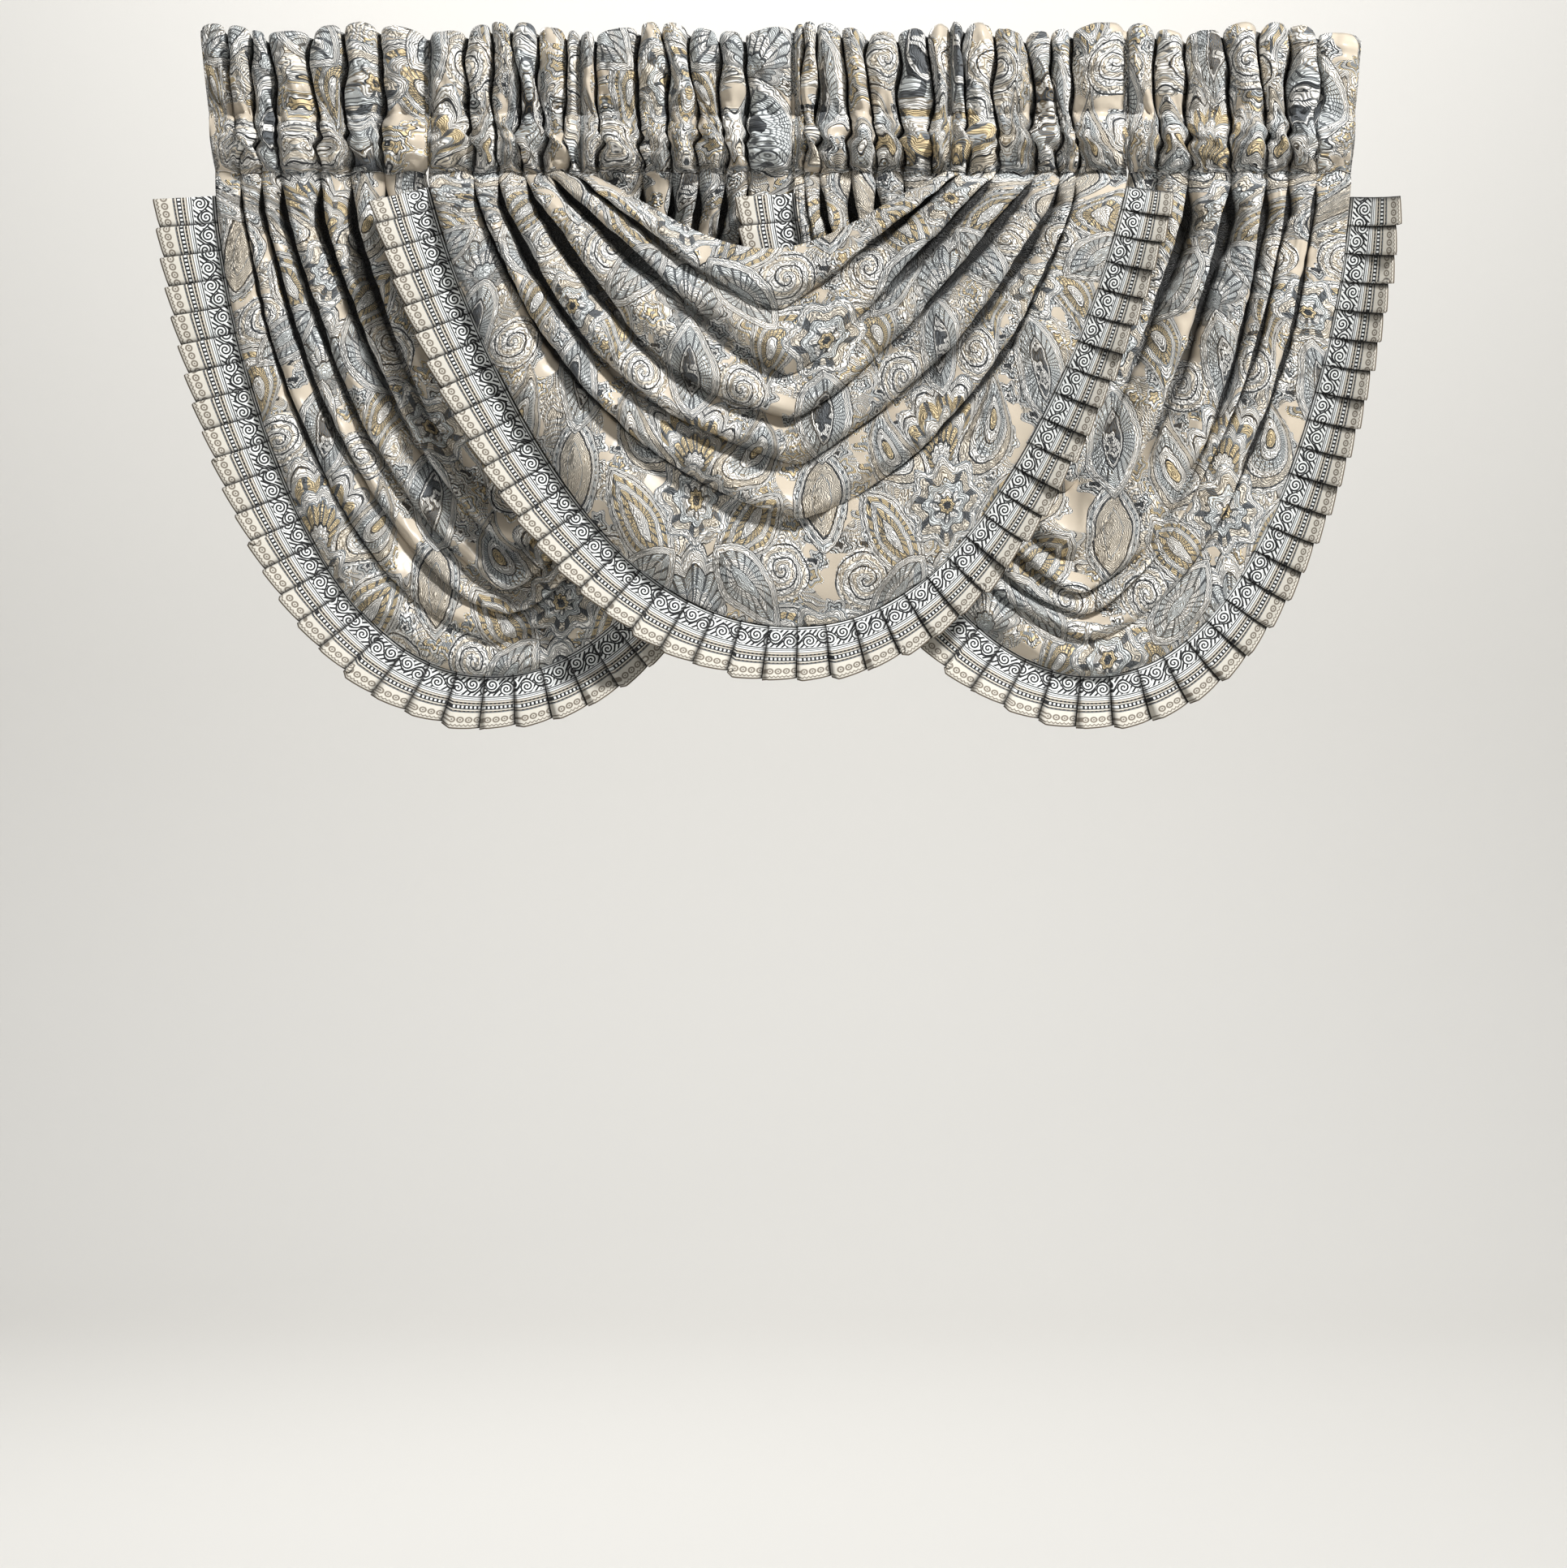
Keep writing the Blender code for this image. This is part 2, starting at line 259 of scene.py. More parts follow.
def seam_wave(x: np.ndarray) -> np.ndarray:
    """Return how far the gathered seam under the rod pocket strays up or down at each x."""
    return 2.6 * MM * wander(x / 0.047, 2.2)


def row_lengths(points: np.ndarray) -> np.ndarray:
    """Return the distance run along a line of points, from 0 at its first point."""
    steps = np.linalg.norm(np.diff(points, axis=0), axis=1)
    return np.concatenate(([0.0], np.cumsum(steps)))


def level_outward(line: np.ndarray) -> np.ndarray:
    """Return the level direction that leaves the cloth at each point of its hem."""
    ahead = np.gradient(line, axis=0)
    outward = np.stack((ahead[:, 2], np.zeros(len(line)), -ahead[:, 0]), axis=-1)
    return outward / np.linalg.norm(outward, axis=1)[:, None]


def lay_sheet(name: str, surface: np.ndarray, pattern: np.ndarray, fold: np.ndarray,
              materials: tuple, thickness: float) -> bpy.types.Object:
    """Make a sheet of cloth from a grid laid on a surface, with its pattern's own UV map.

    Args:
        name: the piece's name.
        surface: rows by columns of points in metres.
        pattern: rows by columns of the place in the flat cloth, in metres.
        fold: rows by columns of painted shade, 0 on the open face of a fold and 1 deep in it; the finishes
            darken the colour by it.
        materials: the finish of the face, and of the back where it differs.
        thickness: the cloth's thickness in metres.

    Returns:
        The sheet, thickened by a Solidify modifier.
    """
    rows, columns = surface.shape[:2]
    grid = bmesh.new()
    bmesh.ops.create_grid(grid, x_segments=columns - 1, y_segments=rows - 1, size=0.5)
    # The rows run down the cloth, so the faces are turned round to look out of the front.
    bmesh.ops.reverse_faces(grid, faces=grid.faces)
    mesh = bpy.data.meshes.new(name)
    grid.to_mesh(mesh)
    grid.free()
    flat = np.empty(len(mesh.vertices) * 3)
    mesh.vertices.foreach_get("co", flat)
    flat = flat.reshape(-1, 3)
    column = np.rint((flat[:, 0] + 0.5) * (columns - 1)).astype(int)
    row = np.rint((flat[:, 1] + 0.5) * (rows - 1)).astype(int)
    mesh.vertices.foreach_set("co", surface[row, column].reshape(-1))
    corner = np.empty(len(mesh.loops), dtype=int)
    mesh.loops.foreach_get("vertex_index", corner)
    uv_map = mesh.uv_layers.new(name="flat_cloth")
    uv_map.data.foreach_set("uv", pattern[row, column][corner].astype(np.float32).reshape(-1))
    # The painted shade is kept as a point attribute, which the finishes use to darken the colour.
    depth = mesh.attributes.new("painted_fold_shade", "FLOAT", "POINT")
    depth.data.foreach_set("value", fold[row, column].astype(np.float32))
    mesh.polygons.foreach_set("use_smooth", np.ones(len(mesh.polygons), dtype=bool))
    for material in materials:
        mesh.materials.append(material)
    mesh.update()
    sheet = bpy.data.objects.new(name, mesh)
    bpy.context.scene.collection.objects.link(sheet)
    solid = sheet.modifiers.new("cloth thickness", "SOLIDIFY")
    solid.thickness = thickness
    solid.offset = 0.0
    solid.material_offset = len(materials) - 1
    return sheet


@dataclass
class Swag:
    """One draped swag: folds that hang in curves from the left arm to the right arm.

    Attributes:
        stations: points along each fold line.
        rows_per_fold: points across each fold.
        crown: how full a fold's round top is, fuller as it nears 0.
        valley: the share of a fold that lies flat between it and the next.
        bulge: how much wider the round top is drawn, as a share of the fold.
        fullness: the folds' height against the plain solid's.
        lean: how far a crest hangs over its lower crease, as a share of its height.
        growth_run: the run from the seam over which a fold grows to its height.
        cloth: the cloth's thickness.
        take_up: how much of the cloth hidden in a fold the pattern takes up.
        tip, tip_run, tip_round: how far a fold line's low point hangs below its curve, over what
            run, and how blunt it is.
        seam_run: how far from the seam its painted shade reaches.
        sway: how far a fold strays to the side.
        flat_width, flat_height, flat_area: the flat cloth's size and the part of it that is cloth; not used.
    """

    panel: Panel
    stations: int = 250
    rows_per_fold: int = 26
    crown: float = 0.8
    valley: float = 0.36
    bulge: float = 0.035
    fullness: float = 1.3
    lean: float = 0.3
    growth_run: float = 38.0 * MM
    cloth: float = 1.2 * MM
    take_up: float = 0.45
    tip: float = 16.0 * MM
    tip_run: float = 45.0 * MM
    tip_round: float = 9.0 * MM
    seam_run: float = 9.0 * MM
    sway: float = 1.4 * MM
    flat_width: float = 0.82
    flat_height: float = 0.62
    flat_area: float = 0.36

    def station_shares(self) -> np.ndarray:
        """Return shares of a fold line's length, a little closer together near both arms."""
        even = np.linspace(0.0, 1.0, self.stations)
        return even - 0.07 * np.sin(2.0 * math.pi * even)

    def crease_line(self, crease: Crease, shares: np.ndarray) -> tuple:
        """Return x, z and the distance from the nearer arm along one crease.

        Args:
            crease: the valley line.
            shares: shares of the line's length.

        Returns:
            Three arrays, each with a straight stub at both arms.
        """
        spread = np.sin(np.linspace(-0.5, 0.5, 2401) * math.pi)
        reach = np.where(spread < 0, crease.low_x - crease.left_x, crease.right_x - crease.low_x)
        bow = np.where(spread < 0, crease.bow_left, crease.bow_right)
        start_z = GATHER_Z - SEAM_GAP - SEAM_STUB
        x = (crease.low_x + spread * reach) * MM
        fall = (1.0 - np.minimum(np.abs(spread) ** bow, 1.0)) ** crease.lift
        z = start_z + (crease.low_z * MM - start_z) * fall
        if crease not in (self.panel.creases[0], self.panel.creases[-1]):
            from_tip = np.hypot(x - crease.low_x * MM, self.tip_round) - self.tip_round
            z = z + self.tip * fall * (1.0 - np.exp(-from_tip / self.tip_run))
        run = np.concatenate(([0.0], np.cumsum(np.hypot(np.diff(x), np.diff(z)))))
        wanted = shares * run[-1]
        line_x, line_z = np.interp(wanted, run, x), np.interp(wanted, run, z)
        along = np.minimum(wanted, run[-1] - wanted)
        line_x = np.concatenate(([line_x[0]], line_x, [line_x[-1]]))
        line_z = np.concatenate(([start_z + SEAM_STUB], line_z, [start_z + SEAM_STUB]))
        return line_x, line_z, np.concatenate(([0.0], along, [0.0]))

    def fold_row(self, index: int, turn: float, lines: list, stations: np.ndarray) -> tuple:
        """Return one row of points across a fold, and the painted shade at each.

        Args:
            index: the fold's number from the inner edge.
            turn: how far round the fold the row lies, from 0 to 1, or -1 in the middle of the
                valley before it.
            lines: the crease lines.
            stations: shares along the line.

        Returns:
            The points and their painted shade, from 0 on the crest to 1 in the crease, with a light even
            shade close to the seam.
        """
        panel, ridge = self.panel, self.panel.ridges[index]
        upper, lower = panel.creases[index], panel.creases[index + 1]
        (x0, z0, a0), (x1, z1, a1) = lines[index], lines[index + 1]
        step_x, step_z = x1 - x0, z1 - z0
        step = np.maximum(np.hypot(step_x, step_z), MM)
        seed = panel.seed + index * 1.37
        low = smooth_step(1.0 - np.abs(stations - 0.5) / 0.42)
        near = a0 + (a1 - a0) * 0.5
        growth = smooth_step(near / self.growth_run)
        last, first = index == len(panel.ridges) - 1, index == 0
        valley = self.valley * (1.0 - 0.9 * low) * growth * (1.0 + 0.55 * wander(near / 0.21, seed + 4.0))
        valley = np.clip(valley, 0.0, 0.55) * (0.35 if last else 1.0)
        if turn < 0.0:
            share, arch, soft = np.zeros_like(stations), 0.0, 0.0
        else:
            round_share = 0.5 - 0.5 * math.cos(math.pi * turn)
            soft = math.sin(math.pi * round_share) ** 2
            share = valley / 2.0 + (1.0 - valley) * round_share
            share = share - self.bulge * growth * math.sin(2.0 * math.pi * turn)
            stray = (0.07 + 0.05 * low) * growth * wander(near / 0.17, seed)
            share = share + stray * math.sin(math.pi * turn) ** 2
            arch = math.sin(math.pi * turn) if 0.0 < turn < 1.0 else 0.0
            if first and turn == 0.0:
                share = np.zeros_like(stations)
            if last and turn == 1.0:
                share = np.ones_like(stations)
        crest = arch ** (0.55 if last else self.crown)
        crest = crest + (soft - crest) * 0.8 * low
        along = a0 + (a1 - a0) * share
        growth = smooth_step(along / self.growth_run)
        valley_depth = upper.gather_depth + (lower.gather_depth - upper.gather_depth) * share
        gather_depth = (valley_depth + (ridge.gather_depth - valley_depth) * crest) * MM
        height = side_blend(stations, ridge.height_left, ridge.height_low, ridge.height_right) * MM
        uneven = 1.0 + 0.18 * growth * wander(stations * 2.3, seed + 0.8)
        height = height * (self.fullness - 0.35 * low) * uneven
        forward = (upper.forward + (lower.forward - upper.forward) * share) * MM
        arrival = 1.0 - np.exp(-along / (panel.forward_run * MM))
        arm_shift = side_blend(stations, panel.arm_shifts[0], 0.0, panel.arm_shifts[1]) * MM
        depth = gather_depth + (height * (0.5 - crest) - gather_depth) * growth
        y = depth + (arm_shift - forward) * arrival
        lean = (self.lean + 0.16 * low) * height * crest * growth
        edge = 0.0 if (first and turn <= 0.0) or (last and turn == 1.0) else 1.0
        held = np.exp(-along / 0.09) * growth
        dents = crumple((index + share) * 2.1, near / 0.024, panel.seed) * growth * edge
        folds = crumple((index + share) * 3.4, near / 0.07, panel.seed + 0.5) * held * edge
        y = y + (0.75 * dents + 2.0 * folds) * MM * (0.35 + 0.65 * crest)
        sway = (self.sway * wander(along / 0.23, seed - 0.6) + 0.6 * MM * dents) * growth * edge
        points = np.stack((x0 + step_x * share + (lean + sway) * step_x / step, y,
                           z0 + step_z * share + (lean + sway) * step_z / step), axis=-1)
        points[:, 2] += seam_wave(points[:, 0]) * np.exp(-(along / (16.0 * MM)) ** 2)
        # Painted shade: darkest deep in each crease, lighter at the low point, and a light even shade by the
        # seam.
        seam = np.exp(-along / self.seam_run)
        painted_shade = (1.0 - crest) * smooth_step(along / (12.0 * MM)) * (1.0 - 0.6 * low)
        if first or last:
            painted_shade = painted_shade * (turn if first else 1.0 - turn)
        return points, painted_shade * (1.0 - 0.6 * seam) + 0.1 * seam

    def surface(self) -> tuple:
        """Return the swag's middle surface and its painted fold shade, rows from the inner edge to the hem.
        """
        shares = self.station_shares()
        stations = np.concatenate(([0.0], shares, [1.0]))
        lines = [self.crease_line(crease, shares) for crease in self.panel.creases]
        rows, folds = [], []
        turns = [-1.0] + list(np.linspace(0.0, 1.0, self.rows_per_fold - 1))
        for index in range(len(self.panel.ridges)):
            for turn in turns[1:] if index == 0 else turns:
                points, depth = self.fold_row(index, float(turn), lines, stations)
                rows.append(points)
                folds.append(depth)
        hem = rows[-1]
        rows.insert(-1, hem - level_outward(hem) * SEAM_STUB)
        folds.insert(-1, folds[-1])
        return np.array(rows), np.clip(np.array(folds), 0.0, 1.0)

    def flat_cloth(self, surface: np.ndarray) -> np.ndarray:
        """Return where each point lies in the flat cloth, in metres.

        The cloth's threads hang upright, and a fold takes up more cloth than its width shows.
        """
        front = surface[:, :, [0, 2]]
        number = np.arange(len(surface))
        ahead = np.minimum(number + self.rows_per_fold // 2, number[-1])
        behind = np.maximum(number - self.rows_per_fold // 2, 0)
        across = front[ahead] - front[behind]
        across /= np.maximum(np.linalg.norm(across, axis=2), MM)[:, :, None]
        steps = np.diff(surface, axis=0)
        shown = np.sum(steps[:, :, [0, 2]] * across[1:], axis=2)
        run = shown + self.take_up * (np.linalg.norm(steps, axis=2) - shown)
        moved = np.cumsum(across[1:] * run[:, :, None], axis=0)
        shift = np.array((0.09 * math.sin(self.panel.seed), 0.12 * math.cos(2.0 * self.panel.seed)))
        return np.concatenate((front[:1], front[:1] + moved)) + shift

    def build(self, materials: tuple) -> bpy.types.Object:
        surface, fold = self.surface()
        node = f"swag_{self.panel.name}"
        piece = lay_sheet(f"{node}_cloth", surface, self.flat_cloth(surface), fold, materials, self.cloth)
        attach(piece, "root")
        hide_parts(node)
        LOG.info("%s: %d points", piece.name, surface.shape[0] * surface.shape[1])
        return piece


@dataclass
class Border:
    """One knife-pleated border: stiff little blades, each lapped over the one before it.

    Attributes:
        width: the border's width.
        pitch: the run along the hem from one blade to the next.
        top_drop: the part of the hem left without a border at both ends.
        rise: how far a blade's edge stands out.
        underlap: how far the cloth turns back under the next blade.
        rows: points across the width.
        cloth: the cloth's thickness.
    """

    panel: Panel
    swag: Swag
    width: float = 58.0 * MM
    pitch: float = 27.0 * MM
    top_drop: float = 20.0 * MM
    rise: float = 7.0 * MM
    underlap: float = 5.0 * MM
    rows: int = 12
    cloth: float = 0.6 * MM

    def blade_line(self) -> tuple:
        """Return one pleat's section: shares of its pitch, how far it stands out, and cloth run."""
        lap = self.underlap / self.pitch
        place = np.array([0.0, 0.03, 0.12, 0.3, 0.5, 0.7, 0.88, 1.0,
                          1.0 + lap * 0.7, 1.0 + lap, 1.0 + lap, 1.0 + lap * 0.6, 1.012])
        stand = np.array([0.46, 0.5, 0.46, 0.33, 0.18, 0.02, -0.16, -0.3,
                          -0.42, -0.42, -0.30, -0.12, 0.18])
        run = np.concatenate(([0.0], np.cumsum(np.abs(np.diff(place)))))
        return place, stand, run

    def surface(self) -> tuple:
        """Return the border's surface, the flat cloth's place of each point, and the painted shade under the
        laps.
        """
        full, _ = self.swag.surface()
        hem = full[-1, 1:-1]
        run = row_lengths(hem)
        outward = level_outward(full[-1])[1:-1]
        length = run[-1] - 2.0 * self.top_drop
        pleats = round(length / self.pitch)
        place, stand, cloth_run = self.blade_line()
        columns, laps, blades, cloth = [], [], [], []
        for pleat in range(pleats):
            keep = slice(None, None) if pleat < pleats - 1 else slice(0, 8)
            columns += list((pleat + place[keep]) / pleats * length + self.top_drop)
            laps += list(stand[keep])
            blades += [pleat] * len(place[keep])
            cloth += list(pleat * cloth_run[-1] + cloth_run[keep])
        wanted, laps, blades = np.array(columns), np.array(laps), np.array(blades)
        middle = ((blades + 0.5) / pleats) * length + self.top_drop
        seam = np.stack([np.interp(wanted, run, hem[:, axis]) for axis in range(3)], axis=-1)
        out_here = np.stack([np.interp(wanted, run, outward[:, axis]) for axis in range(3)], axis=-1)
        out_blade = np.stack([np.interp(middle, run, outward[:, axis]) for axis in range(3)], axis=-1)
        out_blade = out_blade * 0.75 + out_here * 0.25
        out_blade /= np.linalg.norm(out_blade, axis=1)[:, None]
        flare = np.radians(side_blend(wanted / run[-1], *self.panel.trim_flares))
        flare = flare + np.radians(3.5) * wander(blades * 0.37, self.panel.seed)
        depth = np.linspace(0.0, 1.0, self.rows)
        rows = []
        for share in depth:
            uneven = 0.012 * wander(blades * 0.71, self.panel.seed + 1.0)
            away = share * self.width * (1.0 + uneven + 0.08 * share * laps)
            ease = smooth_step(np.array(share / 0.25))
            curl = flare * (0.6 + 0.4 * share)
            point = seam + out_here * SEAM_GAP
            point = point + (out_here * (1.0 - ease) + out_blade * ease) * (away * np.cos(curl))[:, None]
            point[:, 1] -= away * np.sin(curl)
            point[:, 1] -= laps * self.rise * (0.12 + 0.88 * smooth_step(np.array(share / 0.8)))
            rows.append(point)
        surface = np.array(rows)
        along = np.array(cloth) * self.pitch
        pattern = np.stack(np.broadcast_arrays(along[None, :], depth[:, None] * self.width), axis=-1)
        # Painted shade: darker towards each blade's end, where the next blade's lapped edge shades it.
        fold = np.broadcast_to(smooth_step((0.06 - laps) / 0.48)[None, :], surface.shape[:2])
        return surface, pattern, fold

    def build(self, material: bpy.types.Material) -> bpy.types.Object:
        surface, pattern, fold = self.surface()
        node = f"trim_{self.panel.name}"
        piece = lay_sheet(f"{node}_pleats", surface, pattern, fold, (material,), self.cloth)
        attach(piece, "root")
        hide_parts(node)
        LOG.info("%s: %d columns", piece.name, surface.shape[1])
        return piece


class SectionLevel(NamedTuple):
    """One level of a heading's section, in millimetres: height, half depth, gathers, pinch."""

    z: float
    half_depth: float
    wave: float
    pinch: float


HEADING_LEVELS = (
    SectionLevel(-134, 1.6, 0.0, 0.5),
    SectionLevel(-130, 2.6, 5.0, 0.8),
    SectionLevel(-125, 6.5, 8.5, 0.6),
    SectionLevel(-117, 12.0, 10.5, 0.3),
    SectionLevel(-105, 16.0, 11.5, 0.1),
    SectionLevel(-93, 13.5, 11.0, 0.3),
    SectionLevel(-84, 8.0, 9.5, 0.8),
    SectionLevel(-77, 2.0, 9.0, 1.0),
    SectionLevel(-70, 3.5, 11.0, 0.7),
    SectionLevel(-55, 6.5, 14.5, 0.2),
    SectionLevel(-35, 7.5, 15.5, 0.0),
    SectionLevel(-14, 6.5, 15.0, 0.0),
    SectionLevel(-5, 4.0, 13.5, 0.0),
    SectionLevel(0, 0.0, 12.0, 0.0),
)


@dataclass
class Heading:
    """One gathered arm: a ruffle above the rod pocket, stitched above and below the pocket.

    Attributes:
        levels_front, levels_back: points up the front, and down the back.
        columns_per_fold: points across each gather.
        cloth: the cloth's thickness.
        top_lean: how far the middle of the ruffle's top leans to the side.
        top_uneven: how far the ruffle's top edge rises and falls.
        tuck: the flat cloth hidden in the valley between two gathers.
        pleat: the height of the small pleats at both stitched lines.
        dent: the depth of the soft dents.
        flat_height: the flat cloth's run up the front, over the top and down the back; not used.
    """

    panel: Panel
    side: Side
    swag: Swag
    levels_front: int = 58
    levels_back: int = 22
    columns_per_fold: int = 20
    cloth: float = 1.2 * MM
    top_lean: float = -9.0 * MM
    top_uneven: float = 4.0 * MM
    tuck: float = 15.0 * MM
    pleat: float = 3.2 * MM
    dent: float = 2.2 * MM
    flat_height: float = 0.29

    def arm(self) -> tuple:
        """Return the arm's creases from left to right, and where its flat cloth starts.

        Returns:
            The creases' x, their depths, the folds' depths, and the flat cloth's x at the left end.
        """
        surface, _ = self.swag.surface()
        left = self.side is Side.LEFT
        cloth = self.swag.flat_cloth(surface)
        start = cloth[-1, 0, 0] if left else cloth[0, -1, 0]
        xs = [crease.left_x if left else crease.right_x for crease in self.panel.creases]
        depths = [crease.gather_depth for crease in self.panel.creases]
        crests = [ridge.gather_depth for ridge in self.panel.ridges]
        order = slice(None, None, -1) if left else slice(None)
        return (np.array(xs[order]) * MM, np.array(depths[order]) * MM,
                np.array(crests[order]) * MM, start)

    def reach(self) -> float:
        """Return how far an outer heading's inner end leans over to meet the centre panel's."""
        if not self.panel.arm_splays[self.side.value]:
            return 0.0
        inner, centre = self.panel.creases[0], CENTRE.creases[-1]
        if self.side is Side.LEFT:
            return (centre.left_x - inner.left_x) * MM - SEAM_GAP
        return (centre.right_x - inner.right_x) * MM + SEAM_GAP

    def level_values(self, z: np.ndarray) -> tuple:
        """Return half depth, gathers' height and pinch at each height."""
        table = np.array(HEADING_LEVELS)
        place = np.interp(z / MM, table[:, 0], np.arange(len(table)))
        base = np.minimum(place.astype(int), len(table) - 2)
        ease = smooth_step(place - base) * 0.5 + (place - base) * 0.5
        mixed = table[base] + (table[base + 1] - table[base]) * ease[:, None]
        return mixed[:, 1] * MM, mixed[:, 2] * MM, mixed[:, 3]

    def surface(self) -> tuple:
        """Return the heading's surface, its place in the flat cloth, and its painted shade."""
        creases, depths, crests, start = self.arm()
        low, high = creases[0], creases[-1]
        folds = len(crests)
        share = (np.arange(folds * self.columns_per_fold + 1)) / self.columns_per_fold
        index = np.minimum(share.astype(int), folds - 1)
        turn = share - index
        inside = 0.5 - 0.5 * np.cos(math.pi * turn)
        inside = 0.07 + 0.86 * inside - 0.03 * np.sin(2.0 * math.pi * turn)
        inside[0], inside[-1] = 0.0, 1.0
        base = creases[index] + (creases[index + 1] - creases[index]) * inside
        base = np.clip(base, low + SEAM_GAP / 2, high - SEAM_GAP / 2)
        arch = np.abs(np.sin(math.pi * turn)) ** 0.8
        valley = depths[index] + (depths[index + 1] - depths[index]) * inside
        gather = valley + (crests[index] - valley) * arch
        across = (base - low) / (high - low)
        from_inner = 1.0 - across if self.side is Side.LEFT else across
        ends = smooth_step(np.minimum(base - low, high - base) / (10.0 * MM))
        tucked = 0.5 * smooth_step(turn / 0.12) + 0.5 * smooth_step((turn - 0.88) / 0.12)
        flat_x = start + (base - low) + self.tuck * (index + tucked)
        seed = self.panel.seed + 11.0 * self.side.value
        flat_end = np.ones_like(share)
        if self.panel.arm_splays[self.side.value]:
            flat_end = np.where(index == (0 if self.side is Side.LEFT else folds - 1), 0.25, 1.0)
        top = np.linspace(GATHER_Z, 0.0, self.levels_front)
        back = np.linspace(0.0, GATHER_Z + SEAM_STUB, self.levels_back)[1:]
        rows, pattern, fold = [], [], []
        for z, facing in [(z, -1.0) for z in top] + [(z, 1.0) for z in back]:
            half, wave, pinch = (float(value[0]) for value in self.level_values(np.array([z])))
            rise = (z - GATHER_Z) / -GATHER_Z
            ruffle = float(smooth_step(np.array((z - TOP_STITCH_Z) / (30.0 * MM))))
            pocket = float(smooth_step(np.array(1.0 - abs(z - ROD_Z) / (26.0 * MM))))
            free = float(smooth_step(np.array(rise / 0.06)))
            column = 1.0 - 2.0 * arch
            height = (1.0 + 0.3 * wander((index + turn * 0.2) * 0.61, seed)) * flat_end
            y = facing * half * (1.0 + 0.1 * pocket * wander(share * 0.7, seed + 1.0))
            y = y + wave * column * height * ends
            hold = 1.0 - float(smooth_step(np.array((z - GATHER_Z) / (9.0 * MM))))
            y = y + gather * hold
            above = 1.0 - abs(z - TOP_STITCH_Z) / (24.0 * MM)
            fan = max(0.0, above, 1.0 - abs(z - LOW_STITCH_Z) / (20.0 * MM))
            pleats = np.sin(2.0 * math.pi * share * 2.5 + wander(share * 0.9 + z / (40 * MM), seed) * 2.4)
            y = y + self.pleat * fan * free * ends * pleats * flat_end
            dent = self.dent * (1.0 - 0.85 * pinch) * free * ends
            y = y + dent * crumple(base / (16.0 * MM), z / (19.0 * MM) + facing, seed)
            y = y + 0.8 * MM * ruffle * ends * wander(share * 2.1 + z / (60 * MM), seed + 2.0)
            lean = self.top_lean * rise * np.sin(math.pi * across)
            lean = lean + self.panel.arm_splays[self.side.value] * MM * rise * from_inner ** 3
            twist = 4.2 * MM * wander(share * 0.31 + z / (120 * MM), seed + 3.0)
            twist = twist + 5.6 * MM * pocket * wander(share * 0.55 + z / (40 * MM), seed + 4.0)
            x = base + lean + twist * ends * free + self.reach() * free * (1.0 - from_inner) ** 8
            lift = self.top_uneven * rise ** 4 * (1.2 * np.sin(base / (23 * MM)) - 0.9 * column)
            lift = lift - 2.0 * MM * pinch * free * arch
            lift = lift + seam_wave(x) * math.exp(-((z - GATHER_Z) / (14.0 * MM)) ** 2)
            rows.append(np.stack((x, y, np.full_like(x, z) + lift), axis=-1))
            up = z if facing < 0 else -z
            skew = 0.3 * up * wander(share * 0.43, seed + 5.0) * free
            up = up + 0.12 * math.cos(2.0 * self.panel.seed)
            pattern.append(np.stack((flat_x + skew, np.full_like(x, up)), axis=-1))
            # Painted shade: dark in the gaps between gathers and at the stitched lines, and a light even
            # shade by the seam.
            seam = math.exp(-(z - GATHER_Z) / (9.0 * MM))
            painted_gap_shade = (1.0 - arch * (1.0 - 0.35 * pinch)) ** 1.5
            fold.append(painted_gap_shade * free * ends * flat_end + 0.1 * seam)
        return np.array(rows), np.array(pattern), np.clip(np.array(fold), 0.0, 1.0)

    def build(self, material: bpy.types.Material) -> bpy.types.Object:
        surface, pattern, fold = self.surface()
        node = self.panel.arm_names[self.side.value]
        piece = lay_sheet(f"{node}_gathers", surface, pattern, fold, (material,), self.cloth)
        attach(piece, "root")
        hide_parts(node)
        LOG.info("%s: %d points", piece.name, surface.shape[0] * surface.shape[1])
        return piece


def linear(colour: str) -> tuple:
    """Return a linear RGBA colour from an sRGB hex value such as D3C2AC."""
    shares = [int(colour[start:start + 2], 16) / 255.0 for start in (0, 2, 4)]
    return tuple(s / 12.92 if s <= 0.04045 else ((s + 0.055) / 1.055) ** 2.4 for s in shares) + (1.0,)


